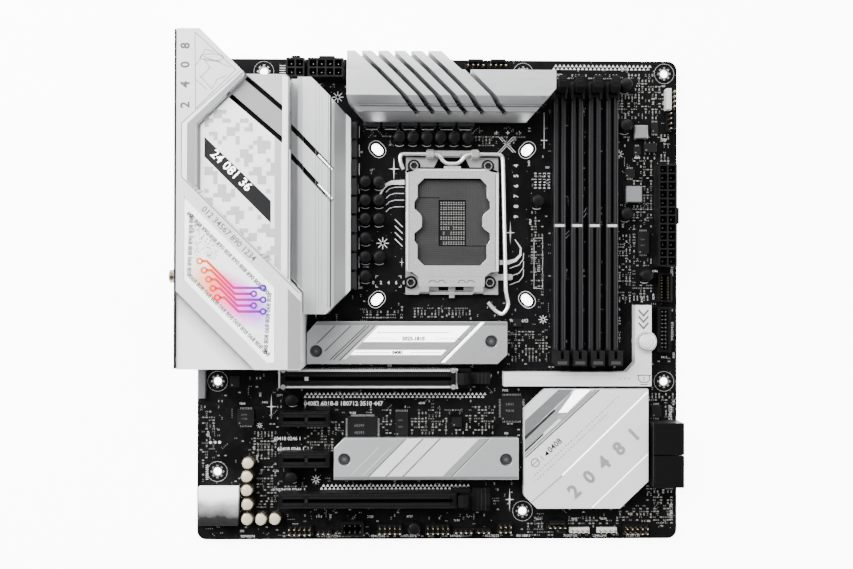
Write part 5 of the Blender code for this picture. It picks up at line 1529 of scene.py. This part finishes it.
def facing(origin, right=(0, -1, 0), up=(0, 0, 1)):
    """A placement for flat shapes that face along right x up, which is rearward unless given."""
    right, up = Vector(right), Vector(up)
    turn = Matrix((right, up, right.cross(up))).transposed().to_4x4()
    return Matrix.Translation(origin) @ turn


def drive_details():
    """Tongues and contacts in the drive ports on the board's right edge."""
    fine = Shape(CHARCOAL)
    for mid in (36.15, 52.55):
        for z in (4.4, 11.6):
            fine.box((237.4, 242.6), (mid - 5.4, mid + 4.4), about(z, 0.6), floor=True)
            fine.box((237.4, 242.6), (mid + 4.4, mid + 5.4), (z - 1.5, z + 0.6), floor=True)
            for i in range(7):
                v = mid - 4.6 + i * 1.27
                fine.box((238.0, 242.4), about(v, 0.3), (z + 0.6, z + 0.68), GOLD)
    fine.make("drive_details", "black_plastic")


# ---------------------------------------------------------------------------- rear panel

def round_port(shape, y, z, finish):
    """A coloured ring round an audio jack, with a plated sleeve inside."""
    shape.where = facing((-5.4, y, z))
    shape.ring((0.0, 0.0), 1.95, 3.6, 0.04, finish, 28)
    shape.ring((0.0, 0.0), 1.75, 2.0, 0.06, GOLD, 28)


def tongue_port(shape, y, z, width, thick, finish):
    """A coloured tongue face, a shell line round the port and its contacts."""
    shape.where = facing((-5.4, y, z))
    shape.flat(rectangle((-width / 2 + 0.4, width / 2 - 0.4), (-thick / 2, thick / 2)), 0.04, finish)
    shell = rectangle((-width / 2 - 0.3, width / 2 + 0.3), (-3.0, 3.0))
    shape.stroke(shell, 0.35, 0.05, closed=True)
    for i in range(5):
        u = (i - 2) * 2.0
        shape.flat(rectangle(about(u, 0.4), (-thick / 2, -thick / 2 + 0.25)), 0.06, GOLD)


def rear_details():
    """Tongues and rings of the ports, with the print and threads beside them."""
    fine = Shape(BRIGHT_STEEL)
    for y in (184.2, 200.8):
        for z in (4.6, 12.2):
            tongue_port(fine, y, z, 12.5, 1.9, USB_BLUE if y > 190.0 else USB_RED)
    for z in (4.6, 12.2):
        tongue_port(fine, 161.2, z, 12.5, 1.9, USB_RED)
    for z, width in ((5.2, 15.4), (14.4, 14.4)):
        tongue_port(fine, 233.0, z, width, 2.0, BLACK)
    jacks = [LIME, PINK, SKY, BLACK, BLACK, BLACK]
    spots = [(y, z) for y in (114.3, 100.7) for z in (16.6, 5.6, 27.6)]
    for (y, z), finish in zip(spots, jacks):
        round_port(fine, y, z, finish)
    network_port(fine)
    panel_print(fine)
    antenna_threads(fine)
    fine.make("rear_details", "dark_steel")


def network_port(fine):
    """Contacts and two lamps of the network port."""
    fine.where = facing((-5.4, 161.2, 21.9))
    for i in range(8):
        u = (i - 3.5) * 1.02
        fine.flat(rectangle(about(u, 0.25), (1.4, 4.2)), -2.0, GOLD)
    for u in (-6.9, 6.9):
        fine.flat(rectangle(about(u, 0.9), (3.4, 5.2)), 0.04, LIME)


def panel_print(fine):
    """Port numbers, an outline and hatching on the rear panel."""
    fine.where = facing((-4.7, 0.0, 0.0))
    for y, z, text in [(238.0, 24.0, "1"), (226.0, 24.0, "2"), (205.0, 20.6, "3"), (190.0, 20.6, "4"),
                       (163.0, 33.4, "5"), (134.0, 33.0, "6"), (114.0, 35.4, "7"), (101.0, 35.4, "8"),
                       (217.4, 12.0, "9"), (218.4, 24.0, "10")]:
        numerals(fine, text, (-y, z), 3.0, 0.03, GREY_PRINT_AND_SHADE)
    fine.stroke(rectangle((-248.6, -90.6), (-2.6, 38.2)), 0.3, 0.03, GREY_PRINT_AND_SHADE, closed=True)
    for i in range(22):
        fine.stroke([(-214.0 + i * 1.7, 29.0), (-211.0 + i * 1.7, 36.6)], 0.35, 0.03, GREY_PRINT_AND_SHADE)


def antenna_threads(fine):
    """Screw threads and centre pins of the two antenna posts."""
    fine.where = Matrix.Identity(4)
    for z in (11.0, 26.0):
        ridges = []
        for i in range(9):
            ridges += [(3.12, i * 0.62), (3.3, i * 0.62 + 0.31)]
        fine.turned((-8.9, 133.0, z), ridges, GOLD, 24, axis="X")
        fine.turned((-9.5, 133.0, z), [(0.5, -0.1), (0.3, -0.25)], GOLD, 10, axis="X")


def button_rings():
    for i, z in enumerate((8.0, 20.0)):
        dot = Shape(GREY)
        dot.where = facing((-6.2, 216.0, z))
        dot.ring((0.0, 0.0), 0.8, 1.1, 0.03, GREY, 20)
        dot.make("button_ring_%d" % (i + 1), "black_plastic", "io_button_%d" % (i + 1))


def underside_details():
    """Stamped ribs and marks on the backplate, and print under the board."""
    fine = Shape(SLATE_AND_SHADE)
    fine.where = facing((0.0, 0.0, -4.2), (-1, 0, 0), (0, 1, 0))
    numerals(fine, "0408", (-134.0, 158.0), 4.0, 0.03)
    fine.stroke(rectangle((-150.0, -108.0), (132.0, 188.0)), 0.4, 0.03, closed=True)
    fine.where = facing((0.0, 0.0, -1.6), (-1, 0, 0), (0, 1, 0))
    for x, y in [(60.0, 20.0), (180.0, 120.0), (40.0, 200.0), (200.0, 60.0), (90.0, 100.0)]:
        numerals(fine, str(CHANCE.randint(100, 9999)), (-x, y), 3.0, 0.04, INK)
    fine.make("underside_marks", "dark_steel")


def build_details():
    socket_details()
    plate_folds()
    memory_details()
    card_details()
    rail_details()
    power_pins()
    drive_details()
    rear_details()
    button_rings()
    underside_details()


# ---------------------------------------------------------------------------- assembly

def build_board():
    ink, tin = make_print()
    kit = SmallParts(ink, tin)
    chips(kit)
    cans(kit)
    coils(kit)
    headers(kit)
    vias(kit)
    passives_everywhere(kit)
    ink.make("print", "board_black")
    tin.make("bare_copper", "steel")
    kit.chips.make("chips", "silicon_black")
    kit.passives.make("passives", "silicon_black")
    kit.cans.make("capacitors", "black_plastic")
    kit.coils.make("coils", "grey_plastic")
    kit.headers.make("headers", "black_plastic")
    solder_tails().make("solder_tails", "steel")


dress_nodes()
build_board()
build_cover()
build_heatsinks()
build_details()


# ---------------------------------------------------------------------------- light and camera

FLOOR_GLOW = 9.0
FLOOR_REACH = 12.0


def floor():
    g = Graph("studio_floor")
    speck = g.noise(0.02, 3.0)
    tone = g.mix(g.remap(speck), [0.90, 0.90, 0.90, 1.0], [0.93, 0.93, 0.93, 1.0])
    g.set(Base_Color=tone, Roughness=0.8, Specular_IOR_Level=0.1)
    g.set(Emission_Color=[1.0, 1.0, 1.0, 1.0], Emission_Strength=FLOOR_GLOW)
    mesh = bpy.data.meshes.new("studio_floor")
    span = (-FLOOR_REACH, FLOOR_REACH)
    corners = [(x, y, 0.0) for x, y in rectangle(span, span)]
    mesh.from_pydata(corners, [], [[0, 1, 2, 3]])
    mesh.materials.append(g.material)
    ground = bpy.data.objects.new("studio_floor", mesh)
    ground.location.z = -0.0002
    bpy.context.scene.collection.objects.link(ground)


def soft_light(name, place, size, power):
    """A flat lamp that faces the middle of the frame."""
    data = bpy.data.lights.new(name, "AREA")
    data.shape = "RECTANGLE"
    data.size, data.size_y = size
    data.energy = power
    lamp = bpy.data.objects.new(name, data)
    lamp.location = place
    lamp.rotation_euler = (-Vector(place)).to_track_quat("-Z", "Y").to_euler()
    bpy.context.scene.collection.objects.link(lamp)


def studio():
    """Even daylight-white light from a soft sky, with large panels at the sides."""
    world = bpy.data.worlds.new("studio_sky")
    world.use_nodes = True
    sky = world.node_tree.nodes["Background"]
    sky.inputs["Color"].default_value = (1.0, 1.0, 1.0, 1.0)
    sky.inputs["Strength"].default_value = 0.28
    bpy.context.scene.world = world
    soft_light("panel_left", (-0.75, 0.45, 0.75), (0.7, 1.0), 36.0)
    soft_light("panel_right", (0.95, -0.1, 0.7), (0.8, 1.2), 6.0)
    soft_light("panel_back", (0.05, 0.85, 0.95), (1.2, 0.6), 19.0)
    floor()


def camera():
    """A 50 mm view from 0.6 m straight above, tipped a degree or so as the picture's is."""
    tip_x, tip_y, tip_z = -0.007, 0.0234, -0.0022
    turn = (Matrix.Rotation(tip_z, 3, "Z") @ Matrix.Rotation(tip_y, 3, "Y")
            @ Matrix.Rotation(tip_x, 3, "X"))
    data = bpy.data.cameras.new("front_view")
    data.sensor_width = 36.0
    data.lens = 49.72
    view = bpy.data.objects.new("front_view", data)
    view.matrix_world = Matrix.Translation((-0.0155, 0.0, 0.6041)) @ turn.transposed().to_4x4()
    bpy.context.scene.collection.objects.link(view)
    bpy.context.scene.camera = view


studio()
camera()
